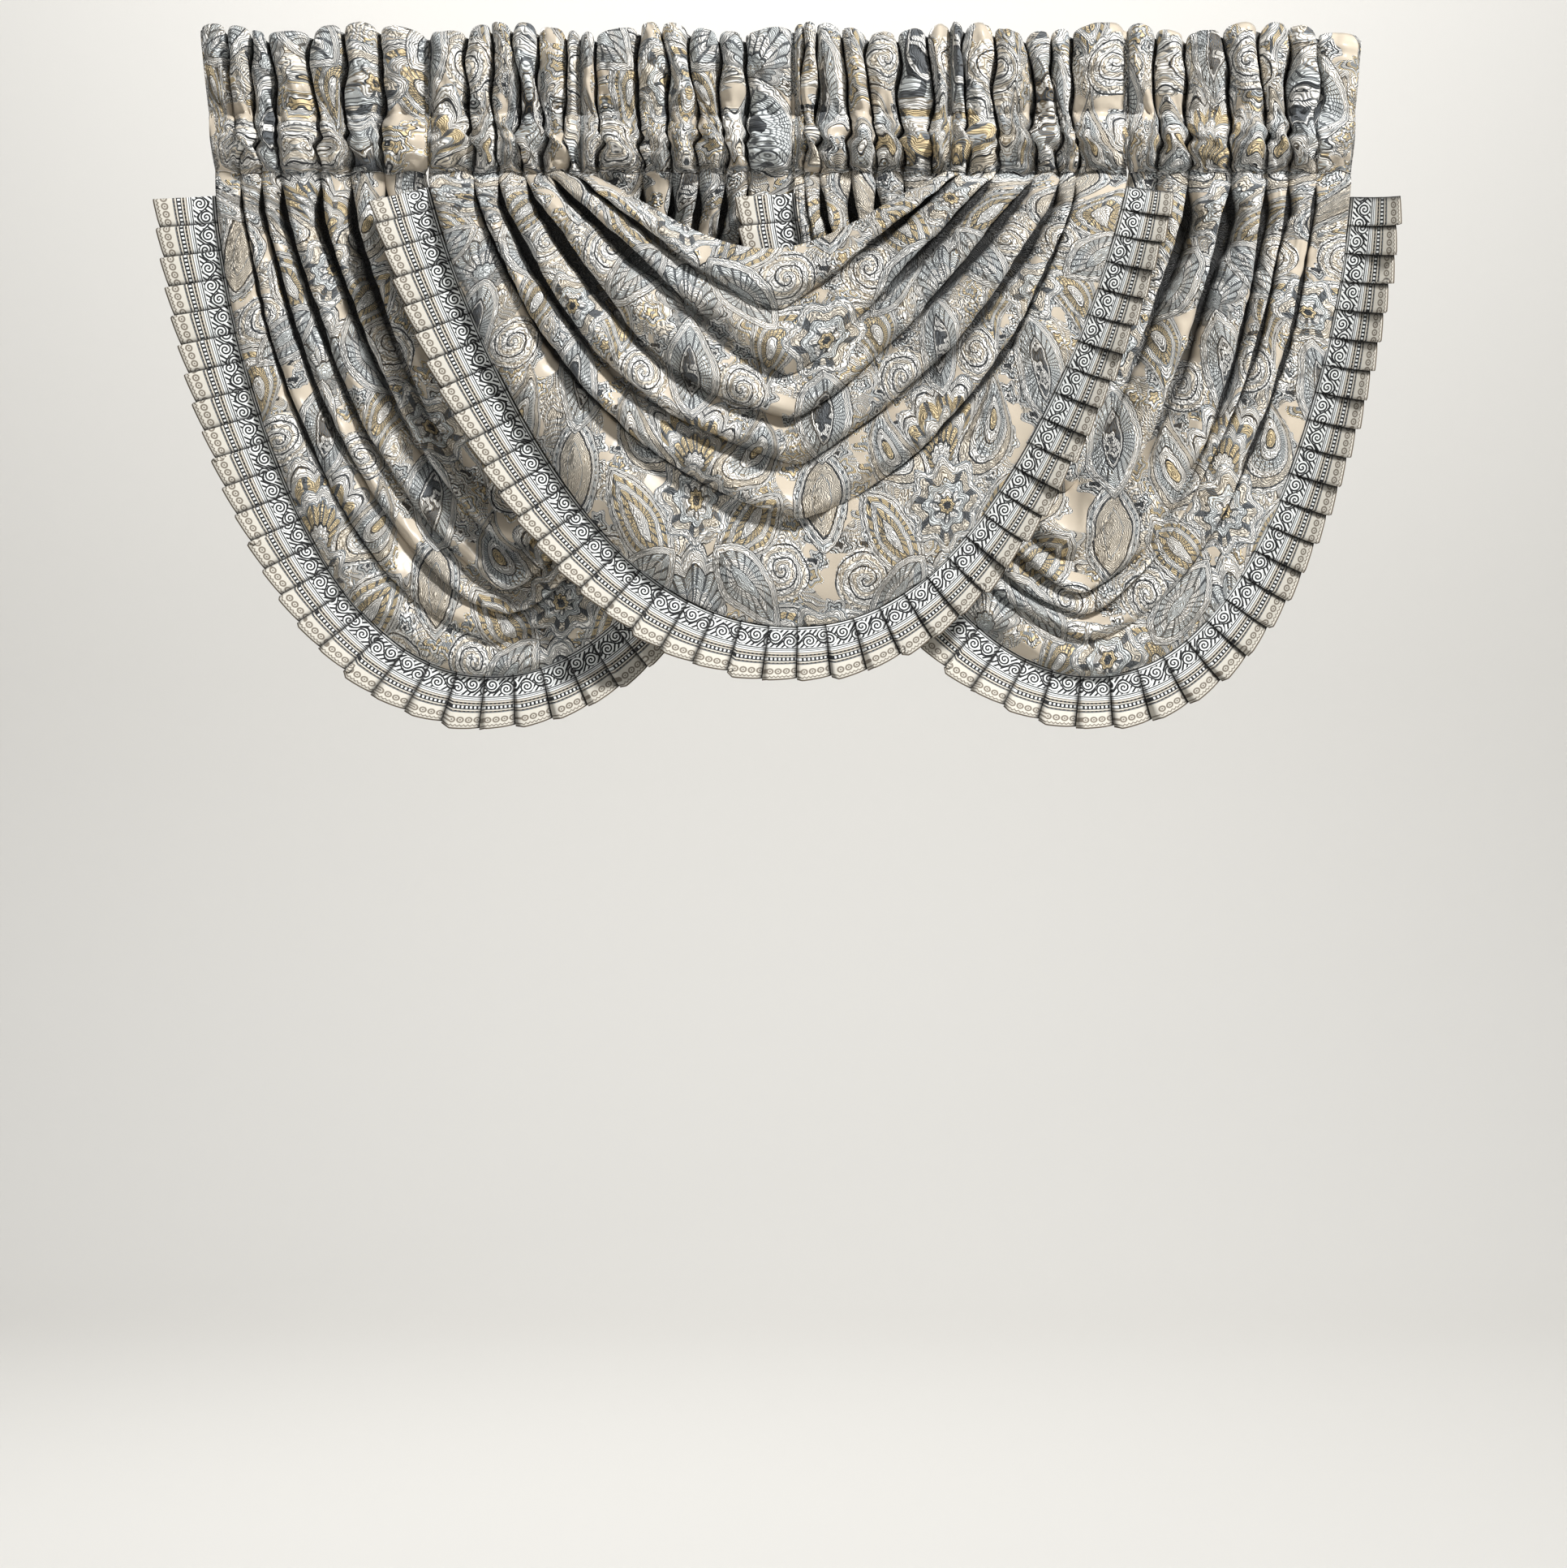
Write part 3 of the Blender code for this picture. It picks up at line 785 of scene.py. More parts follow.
def lay(tree: bpy.types.NodeTree, kind: str, *inputs: Any, out: Any = 0,
        **settings: Any) -> bpy.types.NodeSocket:
    """Add a node, with its settings and its links.

    Args:
        tree: the material's tree.
        kind: the node's type without the words ShaderNode, and after a point its operation.
        inputs: a socket to link or a value for each input in use in turn, or None to leave it.
        out: which of the outputs in use to return, by number, or any output by name.
        settings: values of the node, and under stops the colours of a colour ramp.

    Returns:
        One of the node's outputs.
    """
    kind, _, operation = kind.partition(".")
    node = tree.nodes.new(f"ShaderNode{kind}")
    if operation:
        node.operation = operation
    for place, (start, colour, alpha) in enumerate(settings.pop("stops", ())):
        ramp = node.color_ramp
        ramp.interpolation = "CONSTANT"
        element = ramp.elements[place] if place < len(ramp.elements) else ramp.elements.new(1.0)
        element.position = start
        element.color = linear(colour)[:3] + (alpha,)
    for name, value in settings.items():
        setattr(node, name, value)
    for socket, value in zip([socket for socket in node.inputs if socket.enabled], inputs):
        if isinstance(value, bpy.types.NodeSocket):
            tree.links.new(value, socket)
        elif value is not None:
            socket.default_value = value
    outputs = node.outputs if isinstance(out, str) else [socket for socket in node.outputs if socket.enabled]
    return outputs[out]


def new_material(name: str) -> tuple:
    """Return a new material, its tree and its Principled shader."""
    material = bpy.data.materials.new(name)
    material.use_nodes = True
    return material, material.node_tree, material.node_tree.nodes["Principled BSDF"]


class Tone(Enum):
    """The jacquard's yarn colours, as sRGB hex values."""

    GROUND = "C7BBA9"
    CREAM = "FFFDF8"
    PALE = "E2E7E7"
    GREY = "ACB1B4"
    TOOTH = "5F6367"
    CHARCOAL = "2B2E32"
    GOLD = "E5CFA3"
    SAND = "EBE1D0"
    COOL_THREAD = "4A4E52"
    WARM_THREAD = "84745A"


class Band(NamedTuple):
    """One band of a figure: where it ends, from 0 in the heart to 1, and whether it is combed."""

    end: float
    tone: Tone
    combed: bool = False


class Form(Enum):
    """The outlines that the figures take."""

    ROSETTE = "round, cut into petals"
    DROP = "a teardrop bent to one side"
    ALMOND = "pointed above and below"
    FAN = "leaves spread from one foot"
    SCROLL = "a curled stem"


class Figure(NamedTuple):
    """One woven figure of the repeat: its place and size in metres, and its turn in degrees.

    Attributes:
        heart: the share of the figure that a sprig fills.
        combs: how many times round the figure its combed bands are broken by teeth.
        petals: how many petals or leaves it is cut into.
    """

    form: Form
    across: float
    up: float
    size: float
    turn: float
    bands: tuple
    heart: float = 0.0
    combs: float = 36.0
    petals: float = 8.0


def stops_for(bands: tuple) -> list:
    """Return colour ramp stops that make sharp bands, with alpha 1 where a band is combed."""
    stops, start = [], 0.0
    for band in bands:
        comb = 1.0 if band.combed else 0.0
        stops.append((start, band.tone.value, comb))
        start = band.end
    return stops


EYE = (
    Band(0.3, Tone.TOOTH), Band(0.35, Tone.CREAM), Band(0.4, Tone.CHARCOAL),
    Band(0.72, Tone.PALE, True), Band(0.75, Tone.GREY), Band(0.88, Tone.CREAM), Band(0.91, Tone.GREY),
    Band(0.97, Tone.CREAM), Band(1.0, Tone.CHARCOAL),
)
BLOSSOM = (
    Band(0.1, Tone.CHARCOAL), Band(0.18, Tone.GOLD), Band(0.21, Tone.CHARCOAL),
    Band(0.36, Tone.CREAM, True), Band(0.39, Tone.GREY), Band(0.54, Tone.PALE),
    Band(0.57, Tone.CHARCOAL), Band(0.78, Tone.SAND, True), Band(0.81, Tone.GREY),
    Band(0.95, Tone.CREAM), Band(1.0, Tone.GREY),
)
FLAME = (
    Band(0.2, Tone.CREAM), Band(0.23, Tone.CHARCOAL), Band(0.42, Tone.GOLD, True),
    Band(0.45, Tone.GREY), Band(0.58, Tone.CREAM), Band(0.61, Tone.GREY), Band(0.76, Tone.GOLD, True),
    Band(0.86, Tone.CREAM), Band(0.89, Tone.CHARCOAL), Band(0.97, Tone.CREAM), Band(1.0, Tone.GREY),
)
SHELL = (
    Band(0.22, Tone.PALE), Band(0.25, Tone.CHARCOAL), Band(0.45, Tone.CREAM, True),
    Band(0.48, Tone.GREY), Band(0.7, Tone.PALE, True), Band(0.73, Tone.CHARCOAL),
    Band(0.88, Tone.CREAM), Band(0.91, Tone.GREY), Band(0.97, Tone.CREAM), Band(1.0, Tone.CHARCOAL),
)
SHIELD = (
    Band(0.3, Tone.SAND), Band(0.33, Tone.GREY), Band(0.64, Tone.SAND), Band(0.7, Tone.CHARCOAL),
    Band(0.8, Tone.CREAM), Band(0.83, Tone.GREY), Band(0.9, Tone.PALE, True), Band(0.97, Tone.CREAM),
    Band(1.0, Tone.CHARCOAL),
)
PAISLEY = (
    Band(0.16, Tone.GOLD), Band(0.19, Tone.CHARCOAL), Band(0.36, Tone.CREAM), Band(0.39, Tone.CHARCOAL),
    Band(0.58, Tone.PALE, True), Band(0.68, Tone.CREAM), Band(0.71, Tone.CHARCOAL),
    Band(0.87, Tone.SAND), Band(0.9, Tone.CHARCOAL), Band(0.98, Tone.CREAM), Band(1.0, Tone.GREY),
)
TENDRIL = (
    Band(0.12, Tone.CHARCOAL), Band(0.46, Tone.CREAM), Band(0.52, Tone.GREY), Band(0.82, Tone.SAND),
    Band(1.0, Tone.CREAM),
)

REPEAT_WIDTH = 0.276
REPEAT_HEIGHT = 0.340
FIGURES = (
    Figure(Form.FAN, 0.000, 0.081, 0.096, 0.0, FLAME, combs=26.0, petals=9.0),
    Figure(Form.FAN, 0.000, 0.262, 0.081, 0.0, SHELL, combs=30.0, petals=7.0),
    Figure(Form.ALMOND, 0.138, 0.057, 0.060, 0.0, SHIELD, combs=24.0),
    Figure(Form.DROP, 0.068, 0.109, 0.060, -24.0, PAISLEY, combs=40.0),
    Figure(Form.DROP, 0.083, 0.241, 0.058, 155.0, FLAME, combs=30.0),
    Figure(Form.SCROLL, 0.052, 0.189, 0.028, 0.0, TENDRIL),
    Figure(Form.SCROLL, 0.094, 0.317, 0.031, 90.0, TENDRIL),
    Figure(Form.ALMOND, 0.061, 0.018, 0.058, -38.0, FLAME, combs=22.0),
    Figure(Form.ALMOND, 0.057, 0.299, 0.052, 42.0, SHELL, combs=22.0),
    Figure(Form.ROSETTE, 0.000, 0.044, 0.045, 0.0, BLOSSOM, combs=8.0),
    Figure(Form.ROSETTE, 0.138, 0.247, 0.042, 0.0, BLOSSOM, combs=6.0, petals=6.0),
    Figure(Form.ALMOND, 0.000, 0.204, 0.056, 0.0, EYE, heart=0.3),
    Figure(Form.ALMOND, 0.138, 0.156, 0.060, 0.0, EYE, heart=0.3),
)


@dataclass(frozen=True)
class JacquardFinish:
    """Jacquard furnishing cloth, woven of polyester and cotton on a satin ground.

    The figured parts stand up in small puckers and look matt, the ground between them is a smooth
    satin with a soft shine, and dark threads outline every figure.

    Attributes:
        sprig, sprig_radius: the size of a sprig's cell, and of the sprig in it.
        scatter: how freely the sprigs are strewn.
        row: the spacing of the engraved rows of thread, coarser than real ones so that they show.
        drift: how far a soft noise moves the drawing.
        pucker, raised: how deep the puckers and the engraved rows are.
    """

    sprig: float = 24.0 * MM
    sprig_radius: float = 12.5 * MM
    scatter: float = 0.75
    row: float = 3.0 * MM
    drift: float = 17.0 * MM
    pucker: float = 6.0 * MM
    raised: float = 0.6 * MM

    def field(self, tree: Any, figure: Figure, place: tuple) -> tuple:
        """Measure how far out in a figure each point of the cloth lies.

        Args:
            tree: the material's tree.
            figure: the woven figure.
            place: sockets with the place across and up in the repeat, in metres.

        Returns:
            The share of the way out, 1 on the outline, the same share for the colours, and a wave
            that combs the bands into teeth.
        """
        x = lay(tree, "Math.SUBTRACT", place[0], figure.across)
        y = lay(tree, "Math.SUBTRACT", place[1], figure.up)
        y = lay(tree, "Math.WRAP", y, REPEAT_HEIGHT / 2.0, -REPEAT_HEIGHT / 2.0)
        local = lay(tree, "CombineXYZ", x, y)
        size, turn = (figure.size, figure.size, 1.0), math.radians(figure.turn)
        local = lay(tree, "Mapping", local, None, (0.0, 0.0, turn), size, vector_type="TEXTURE")
        split = lay(tree, "SeparateXYZ", local)
        x, y = split.node.outputs[0], split.node.outputs[1]
        angle = lay(tree, "Math.ARCTAN2", y, x)
        comb = lay(tree, "Math.MULTIPLY", angle, figure.combs)
        comb = lay(tree, "Math.SINE", comb)
        if figure.form is Form.ROSETTE:
            radius = lay(tree, "VectorMath.LENGTH", local)
            petal = lay(tree, "Math.MULTIPLY", angle, figure.petals)
            petal = lay(tree, "Math.COSINE", petal)
            petal = lay(tree, "Math.MULTIPLY_ADD", petal, -0.13, 1.1)
            share = lay(tree, "Math.MULTIPLY", radius, petal)
            return share, share, comb
        if figure.form is Form.SCROLL:
            radius = lay(tree, "VectorMath.LENGTH", local)
            curl = lay(tree, "Math.DIVIDE", angle, 2.0 * math.pi)
            curl = lay(tree, "Math.MULTIPLY_ADD", radius, 2.4, curl)
            return radius, lay(tree, "Math.FRACT", curl), comb
        if figure.form is Form.FAN:
            radius = lay(tree, "VectorMath.LENGTH", local)
            reach = lay(tree, "MapRange", angle, 0.0, math.pi, 0.0, math.pi)
            reach = lay(tree, "Math.SINE", reach)
            reach = lay(tree, "Math.MULTIPLY_ADD", reach, 0.72, 0.28)
            petal = lay(tree, "Math.MULTIPLY", angle, figure.petals)
            petal = lay(tree, "Math.SINE", petal)
            petal = lay(tree, "Math.ABSOLUTE", petal)
            petal = lay(tree, "Math.MULTIPLY_ADD", petal, 0.16, 0.86)
            reach = lay(tree, "Math.MULTIPLY", reach, petal)
            share = lay(tree, "Math.DIVIDE", radius, reach)
            return share, share, comb
        if figure.form is Form.DROP:
            bend = lay(tree, "Math.MULTIPLY", y, y)
            x = lay(tree, "Math.MULTIPLY_ADD", bend, 0.42, x)
            wide = lay(tree, "MapRange", y, -0.55, 1.05, 0.62, 0.06)
            x = lay(tree, "Math.DIVIDE", x, wide)
            share = lay(tree, "VectorMath.LENGTH", lay(tree, "CombineXYZ", x, y))
            return share, share, comb
        side = lay(tree, "Math.ABSOLUTE", x)
        side = lay(tree, "Math.MULTIPLY_ADD", side, 1.0 / 0.5, 1.0)
        tall = lay(tree, "Math.MULTIPLY", y, 1.732)
        share = lay(tree, "VectorMath.LENGTH", lay(tree, "CombineXYZ", side, tall))
        share = lay(tree, "Math.SUBTRACT", share, 1.0)
        return share, share, comb

    def sprigs(self, tree: Any, cloth: Any) -> tuple:
        """Make small rosettes and curls, one to a cell, for the ground and the hearts of figures.

        Args:
            tree: the material's tree.
            cloth: the place in the flat cloth in metres.

        Returns:
            Their colour, the same in dark tones, their share of the way out, and the cell's own
            number from 0 to 1.
        """
        middle = lay(tree, "TexVoronoi", cloth, 1.0 / self.sprig, None, None, None, self.scatter,
                     voronoi_dimensions="2D", out="Position")
        luck = lay(tree, "SeparateXYZ", middle.node.outputs["Color"])
        local = lay(tree, "VectorMath.SUBTRACT", cloth, middle)
        split = lay(tree, "SeparateXYZ", local)
        angle = lay(tree, "Math.ARCTAN2", split.node.outputs[1], split.node.outputs[0])
        radius = lay(tree, "VectorMath.LENGTH", local)
        petal = lay(tree, "Math.MULTIPLY", angle, 5.0)
        petal = lay(tree, "Math.SINE", petal)
        petal = lay(tree, "Math.MULTIPLY_ADD", petal, 0.2, 1.0)
        round_share = lay(tree, "Math.MULTIPLY", radius, petal)
        round_share = lay(tree, "Math.DIVIDE", round_share, self.sprig_radius)
        curl = lay(tree, "Math.MULTIPLY_ADD", angle, 0.16, round_share)
        curled = lay(tree, "Math.GREATER_THAN", luck, 0.5)
        share = lay(tree, "Mix", curled, round_share, curl)
        light = (
            Band(0.16, Tone.CHARCOAL), Band(0.34, Tone.CREAM), Band(0.44, Tone.CHARCOAL),
            Band(0.62, Tone.PALE), Band(0.72, Tone.CHARCOAL), Band(0.92, Tone.CREAM),
            Band(1.0, Tone.GREY),
        )
        warm = (
            Band(0.14, Tone.GREY), Band(0.36, Tone.GOLD), Band(0.44, Tone.CHARCOAL),
            Band(0.62, Tone.CREAM), Band(0.72, Tone.GREY), Band(0.88, Tone.GOLD), Band(1.0, Tone.CREAM),
        )
        dark = (
            Band(0.2, Tone.CREAM), Band(0.32, Tone.CHARCOAL), Band(0.6, Tone.CREAM),
            Band(0.8, Tone.CHARCOAL), Band(1.0, Tone.TOOTH),
        )
        first = lay(tree, "ValToRGB", share, stops=stops_for(light))
        second = lay(tree, "ValToRGB", share, stops=stops_for(warm))
        warmer = lay(tree, "Math.GREATER_THAN", luck.node.outputs[1], 0.5)
        colour = lay(tree, "Mix", warmer, first, second, data_type="RGBA")
        return colour, lay(tree, "ValToRGB", share, stops=stops_for(dark)), share, luck.node.outputs[2]

    def build(self) -> bpy.types.Material:
        """Make the jacquard material."""
        material, tree, shader = new_material("jacquard_figured_satin")
        cloth = lay(tree, "UVMap", uv_map="flat_cloth")
        # Hand-drawn lines are never quite true: a soft noise moves them by a few millimetres.
        drift = lay(tree, "TexNoise", cloth, 14.0, 3.0, 0.45, out="Color", noise_dimensions="2D")
        drift = lay(tree, "VectorMath.SUBTRACT", drift, (0.5, 0.5, 0.5))
        drift = lay(tree, "VectorMath.SCALE", drift, self.drift)
        place = lay(tree, "VectorMath.ADD", cloth, drift)
        split = lay(tree, "SeparateXYZ", place)
        across = lay(tree, "Math.PINGPONG", split, REPEAT_WIDTH / 2.0)
        spot = (across, split.node.outputs[1])
        sprigs, dark_sprigs, small, luck = self.sprigs(tree, place)

        # The ground: satin with curled filler lines about 6 mm apart and sprigs here and there.
        swirl = lay(tree, "TexNoise", place, 24.0, 1.0, 0.5, noise_dimensions="2D")
        swirl = lay(tree, "Math.MULTIPLY", swirl, 15.0)
        swirl = lay(tree, "Math.FRACT", swirl)
        lines = (
            Band(0.1, Tone.CHARCOAL), Band(0.45, Tone.CREAM), Band(0.52, Tone.GREY),
            Band(1.0, Tone.SAND),
        )
        figured = lay(tree, "ValToRGB", swirl, stops=stops_for(lines))
        patch = lay(tree, "TexNoise", cloth, 17.0, 0.0, 0.5, noise_dimensions="2D")
        plain = lay(tree, "MapRange", patch, 0.53, 0.54, 0.0, 1.0)
        colour = lay(tree, "Mix", plain, figured, linear(Tone.GROUND.value), data_type="RGBA")
        scatter = lay(tree, "Math.LESS_THAN", small, 0.98)
        often = lay(tree, "Math.LESS_THAN", luck, 0.6)
        scatter = lay(tree, "Math.MULTIPLY", scatter, often)
        colour = lay(tree, "Mix", scatter, colour, sprigs, data_type="RGBA")
        contour = lay(tree, "Math.MULTIPLY", patch, 0.14)
        satin = lay(tree, "Math.SUBTRACT", plain, scatter)
        for figure in FIGURES:
            share, shade, comb = self.field(tree, figure, spot)
            bands = lay(tree, "ValToRGB", shade, stops=stops_for(figure.bands))
            teeth = lay(tree, "Math.GREATER_THAN", comb, 0.65)
            teeth = lay(tree, "Math.MULTIPLY", teeth, bands.node.outputs[1])
            bands = lay(tree, "Mix", teeth, bands, linear(Tone.TOOTH.value), data_type="RGBA")
            if figure.heart > 0.0:
                heart = lay(tree, "Math.LESS_THAN", share, figure.heart)
                fill = dark_sprigs if figure.bands is EYE else sprigs
                bands = lay(tree, "Mix", heart, bands, fill, data_type="RGBA")
            inside = lay(tree, "Math.LESS_THAN", share, 1.0)
            colour = lay(tree, "Mix", inside, colour, bands, data_type="RGBA")
            depth = lay(tree, "Math.MULTIPLY", share, figure.size)
            contour = lay(tree, "Mix", inside, contour, depth)
            satin = lay(tree, "Mix", inside, satin, 0.0)

        # Engraved rows of thread, 3 mm apart, follow the outlines of the figures.
        shiver = lay(tree, "TexNoise", place, 80.0, 2.0, 0.6, noise_dimensions="2D")
        contour = lay(tree, "Math.MULTIPLY_ADD", shiver, 0.017, contour)
        rows = lay(tree, "Math.MULTIPLY", contour, 2.0 * math.pi / self.row)
        rows = lay(tree, "Math.SINE", rows)
        figured_part = lay(tree, "MapRange", satin, 0.0, 1.0, 1.0, 0.0)
        engraved = lay(tree, "Math.MULTIPLY", rows, figured_part)
        warmth = lay(tree, "TexNoise", cloth, 21.0, 1.0, 0.5, noise_dimensions="2D")
        warmth = lay(tree, "MapRange", warmth, 0.5, 0.56, 0.0, 1.0)
        threads = linear(Tone.COOL_THREAD.value), linear(Tone.WARM_THREAD.value)
        thread = lay(tree, "Mix", warmth, *threads, data_type="RGBA")
        sunk = lay(tree, "MapRange", engraved, -0.4, -0.95, 0.0, 0.92)
        colour = lay(tree, "Mix", sunk, colour, thread, data_type="RGBA")

        # Painted shade: the colour is darkened deep in the folds and by the seam, where the cloth lies in
        # shade.
        depth = lay(tree, "Attribute", attribute_name="painted_fold_shade", out="Fac")
        painted_shade = lay(tree, "MapRange", depth, 0.4, 0.97, 1.0, 0.03, interpolation_type="SMOOTHSTEP")
        dark = lay(tree, "VectorMath.SCALE", colour, painted_shade)
        tree.links.new(dark, shader.inputs["Base Color"])

        # Puckers 6 to 12 mm wide under the figures, and threads that stand proud of the ground.
        folded = lay(tree, "Bump", figured_part, self.pucker, None, shiver)
        raised = lay(tree, "Bump", 1.0, self.raised, None, engraved, folded)
        tree.links.new(raised, shader.inputs["Normal"])
        shine = lay(tree, "MapRange", satin, 0.0, 1.0, 0.75, 0.34)
        tree.links.new(shine, shader.inputs["Roughness"])
        shader.inputs["Sheen Weight"].default_value = 0.15
        shader.inputs["Sheen Roughness"].default_value = 0.5
        shader.inputs["Specular IOR Level"].default_value = 0.4
        return material


class Thread(Enum):
    """The border's yarn colours, as sRGB hex values."""

    WHITE = "ECEEED"
    GREY = "6A6E71"
    CHARCOAL = "121417"
    BEIGE = "D3CEC3"
    TAN = "655A4C"


class Stripe(NamedTuple):
    """One stripe of the border: where it ends, as a share of the width, and how it is broken."""

    end: float
    tone: Thread
    combed: bool = False


STRIPES = (
    Stripe(0.02, Thread.CHARCOAL), Stripe(0.045, Thread.WHITE), Stripe(0.065, Thread.CHARCOAL),
    Stripe(0.4, Thread.WHITE), Stripe(0.418, Thread.CHARCOAL), Stripe(0.436, Thread.WHITE),
    Stripe(0.45, Thread.GREY), Stripe(0.475, Thread.WHITE), Stripe(0.49, Thread.TAN),
    Stripe(0.515, Thread.BEIGE), Stripe(0.545, Thread.TAN, True), Stripe(0.565, Thread.BEIGE),
    Stripe(0.58, Thread.CHARCOAL), Stripe(0.625, Thread.WHITE, True), Stripe(0.642, Thread.CHARCOAL),
    Stripe(0.665, Thread.BEIGE), Stripe(0.685, Thread.TAN, True), Stripe(0.7, Thread.GREY),
    Stripe(0.98, Thread.BEIGE), Stripe(1.0, Thread.TAN),
)


@dataclass(frozen=True)
class BorderFinish:
    """Woven galloon border of cotton and viscose, pressed into pleats.

    A dark vine runs on a pale band, then come cords and a beige lace edge with small rings.

    Attributes:
        width: the border's width.
        vine: the length of one wave of the vine.
        middle, half_band: where the vine's middle line lies, and half the pale band's width.
        swing, stem: how far the stem swings from the middle line, and half its thickness.
        curl: the radius of the curl in each bend.
        ring_pitch, ring_line, ring_radius: the lace rings' spacing, place and size.
        scallop_line, scallop_swing: the place of the scalloped line and the depth of its bows.
    """

    width: float = 58.0 * MM
    vine: float = 27.0 * MM
    middle: float = 13.6 * MM
    half_band: float = 9.2 * MM
    swing: float = 5.6 * MM
    stem: float = 1.1 * MM
    curl: float = 6.4 * MM
    ring_pitch: float = 7.5 * MM
    ring_line: float = 48.5 * MM
    ring_radius: float = 2.6 * MM
    scallop_line: float = 53.6 * MM
    scallop_swing: float = 1.6 * MM

    def vine_lines(self, tree: Any, along: Any, out: Any) -> Any:
        """Draw the vine: a waving stem with a curl in every bend and a bud on its other side."""
        wave = lay(tree, "Math.MULTIPLY", along, 2.0 * math.pi / self.vine)
        sine = lay(tree, "Math.SINE", wave)
        cosine = lay(tree, "Math.COSINE", wave)
        height = lay(tree, "Math.SUBTRACT", out, self.middle)
        stem = lay(tree, "Math.MULTIPLY_ADD", sine, self.swing, height)
        stem = lay(tree, "Math.ABSOLUTE", stem)
        stem = lay(tree, "Math.LESS_THAN", stem, self.stem)
        # Each half wave holds one curl, on alternate sides of the middle line.
        local = lay(tree, "Math.WRAP", along, self.vine / 2.0, 0.0)
        local = lay(tree, "Math.SUBTRACT", local, self.vine / 4.0)
        side = lay(tree, "Math.SIGN", sine)
        curl_y = lay(tree, "Math.MULTIPLY_ADD", side, -2.4 * MM, height)
        curl_y = lay(tree, "Math.MULTIPLY", curl_y, side)
        curl = lay(tree, "CombineXYZ", local, curl_y)
        radius = lay(tree, "VectorMath.LENGTH", curl)
        angle = lay(tree, "Math.ARCTAN2", curl_y, local)
        twirl = lay(tree, "Math.MULTIPLY_ADD", angle, 0.5 * MM, radius)
        twirl = lay(tree, "Math.DIVIDE", twirl, 3.2 * MM)
        twirl = lay(tree, "Math.FRACT", twirl)
        ring = lay(tree, "Math.LESS_THAN", twirl, 0.5)
        near = lay(tree, "Math.LESS_THAN", radius, self.curl)
        ring = lay(tree, "Math.MULTIPLY", ring, near)
        # Leaves: short strokes that lean away from the stem along both edges of the band.
        slant = lay(tree, "Math.MULTIPLY_ADD", height, 0.9, along)
        slant = lay(tree, "Math.PINGPONG", slant, 2.6 * MM)
        leaf = lay(tree, "Math.LESS_THAN", slant, 1.2 * MM)
        away = lay(tree, "Math.ABSOLUTE", height)
        rim = lay(tree, "Math.SUBTRACT", 1.0, near)
        bunch = lay(tree, "Math.ABSOLUTE", cosine)
        bunch = lay(tree, "Math.GREATER_THAN", bunch, 0.12)
        leaf = lay(tree, "Math.MULTIPLY", leaf, rim)
        leaf = lay(tree, "Math.MULTIPLY", leaf, bunch)
        drawn = lay(tree, "Math.MAXIMUM", stem, ring)
        drawn = lay(tree, "Math.MAXIMUM", drawn, leaf)
        within = lay(tree, "Math.LESS_THAN", away, self.half_band)
        return lay(tree, "Math.MULTIPLY", drawn, within)

    def build(self) -> bpy.types.Material:
        """Make the border's material."""
        material, tree, shader = new_material("woven_galloon_border")
        cloth = lay(tree, "UVMap", uv_map="flat_cloth")
        spot = lay(tree, "SeparateXYZ", cloth)
        along, out = spot.node.outputs[0], spot.node.outputs[1]
        share = lay(tree, "Math.DIVIDE", out, self.width)
        base = lay(tree, "ValToRGB", share, stops=stops_for(STRIPES))
        stitch = lay(tree, "Math.PINGPONG", along, 1.9 * MM)
        stitch = lay(tree, "Math.LESS_THAN", stitch, 0.95 * MM)
        stitch = lay(tree, "Math.MULTIPLY", stitch, base.node.outputs[1])
        vine = self.vine_lines(tree, along, out)

        # Lace rings, each with a dot, and a scalloped line below them.
        link = lay(tree, "Math.WRAP", along, self.ring_pitch / 2.0, -self.ring_pitch / 2.0)
        rise = lay(tree, "Math.SUBTRACT", out, self.ring_line)
        loop = lay(tree, "VectorMath.LENGTH", lay(tree, "CombineXYZ", link, rise))
        ring = lay(tree, "Math.SUBTRACT", loop, self.ring_radius)
        ring = lay(tree, "Math.ABSOLUTE", ring)
        ring = lay(tree, "Math.LESS_THAN", ring, 0.8 * MM)
        dot = lay(tree, "Math.LESS_THAN", loop, 0.9 * MM)
        ring = lay(tree, "Math.MAXIMUM", ring, dot)
        scallop = lay(tree, "Math.MULTIPLY", along, 2.0 * math.pi / self.ring_pitch)
        scallop = lay(tree, "Math.SINE", scallop)
        scallop = lay(tree, "Math.ABSOLUTE", scallop)
        scallop = lay(tree, "Math.MULTIPLY_ADD", scallop, -self.scallop_swing, out)
        scallop = lay(tree, "Math.SUBTRACT", scallop, self.scallop_line)
        scallop = lay(tree, "Math.ABSOLUTE", scallop)
        scallop = lay(tree, "Math.LESS_THAN", scallop, 0.7 * MM)
        lace = lay(tree, "Math.MAXIMUM", ring, scallop)
        lace = lay(tree, "Math.MULTIPLY", lace, 0.85)

        dark_thread, tan_thread = linear(Thread.CHARCOAL.value), linear(Thread.TAN.value)
        colour = lay(tree, "Mix", vine, base, dark_thread, data_type="RGBA")
        colour = lay(tree, "Mix", stitch, colour, dark_thread, data_type="RGBA")
        colour = lay(tree, "Mix", lace, colour, tan_thread, data_type="RGBA")
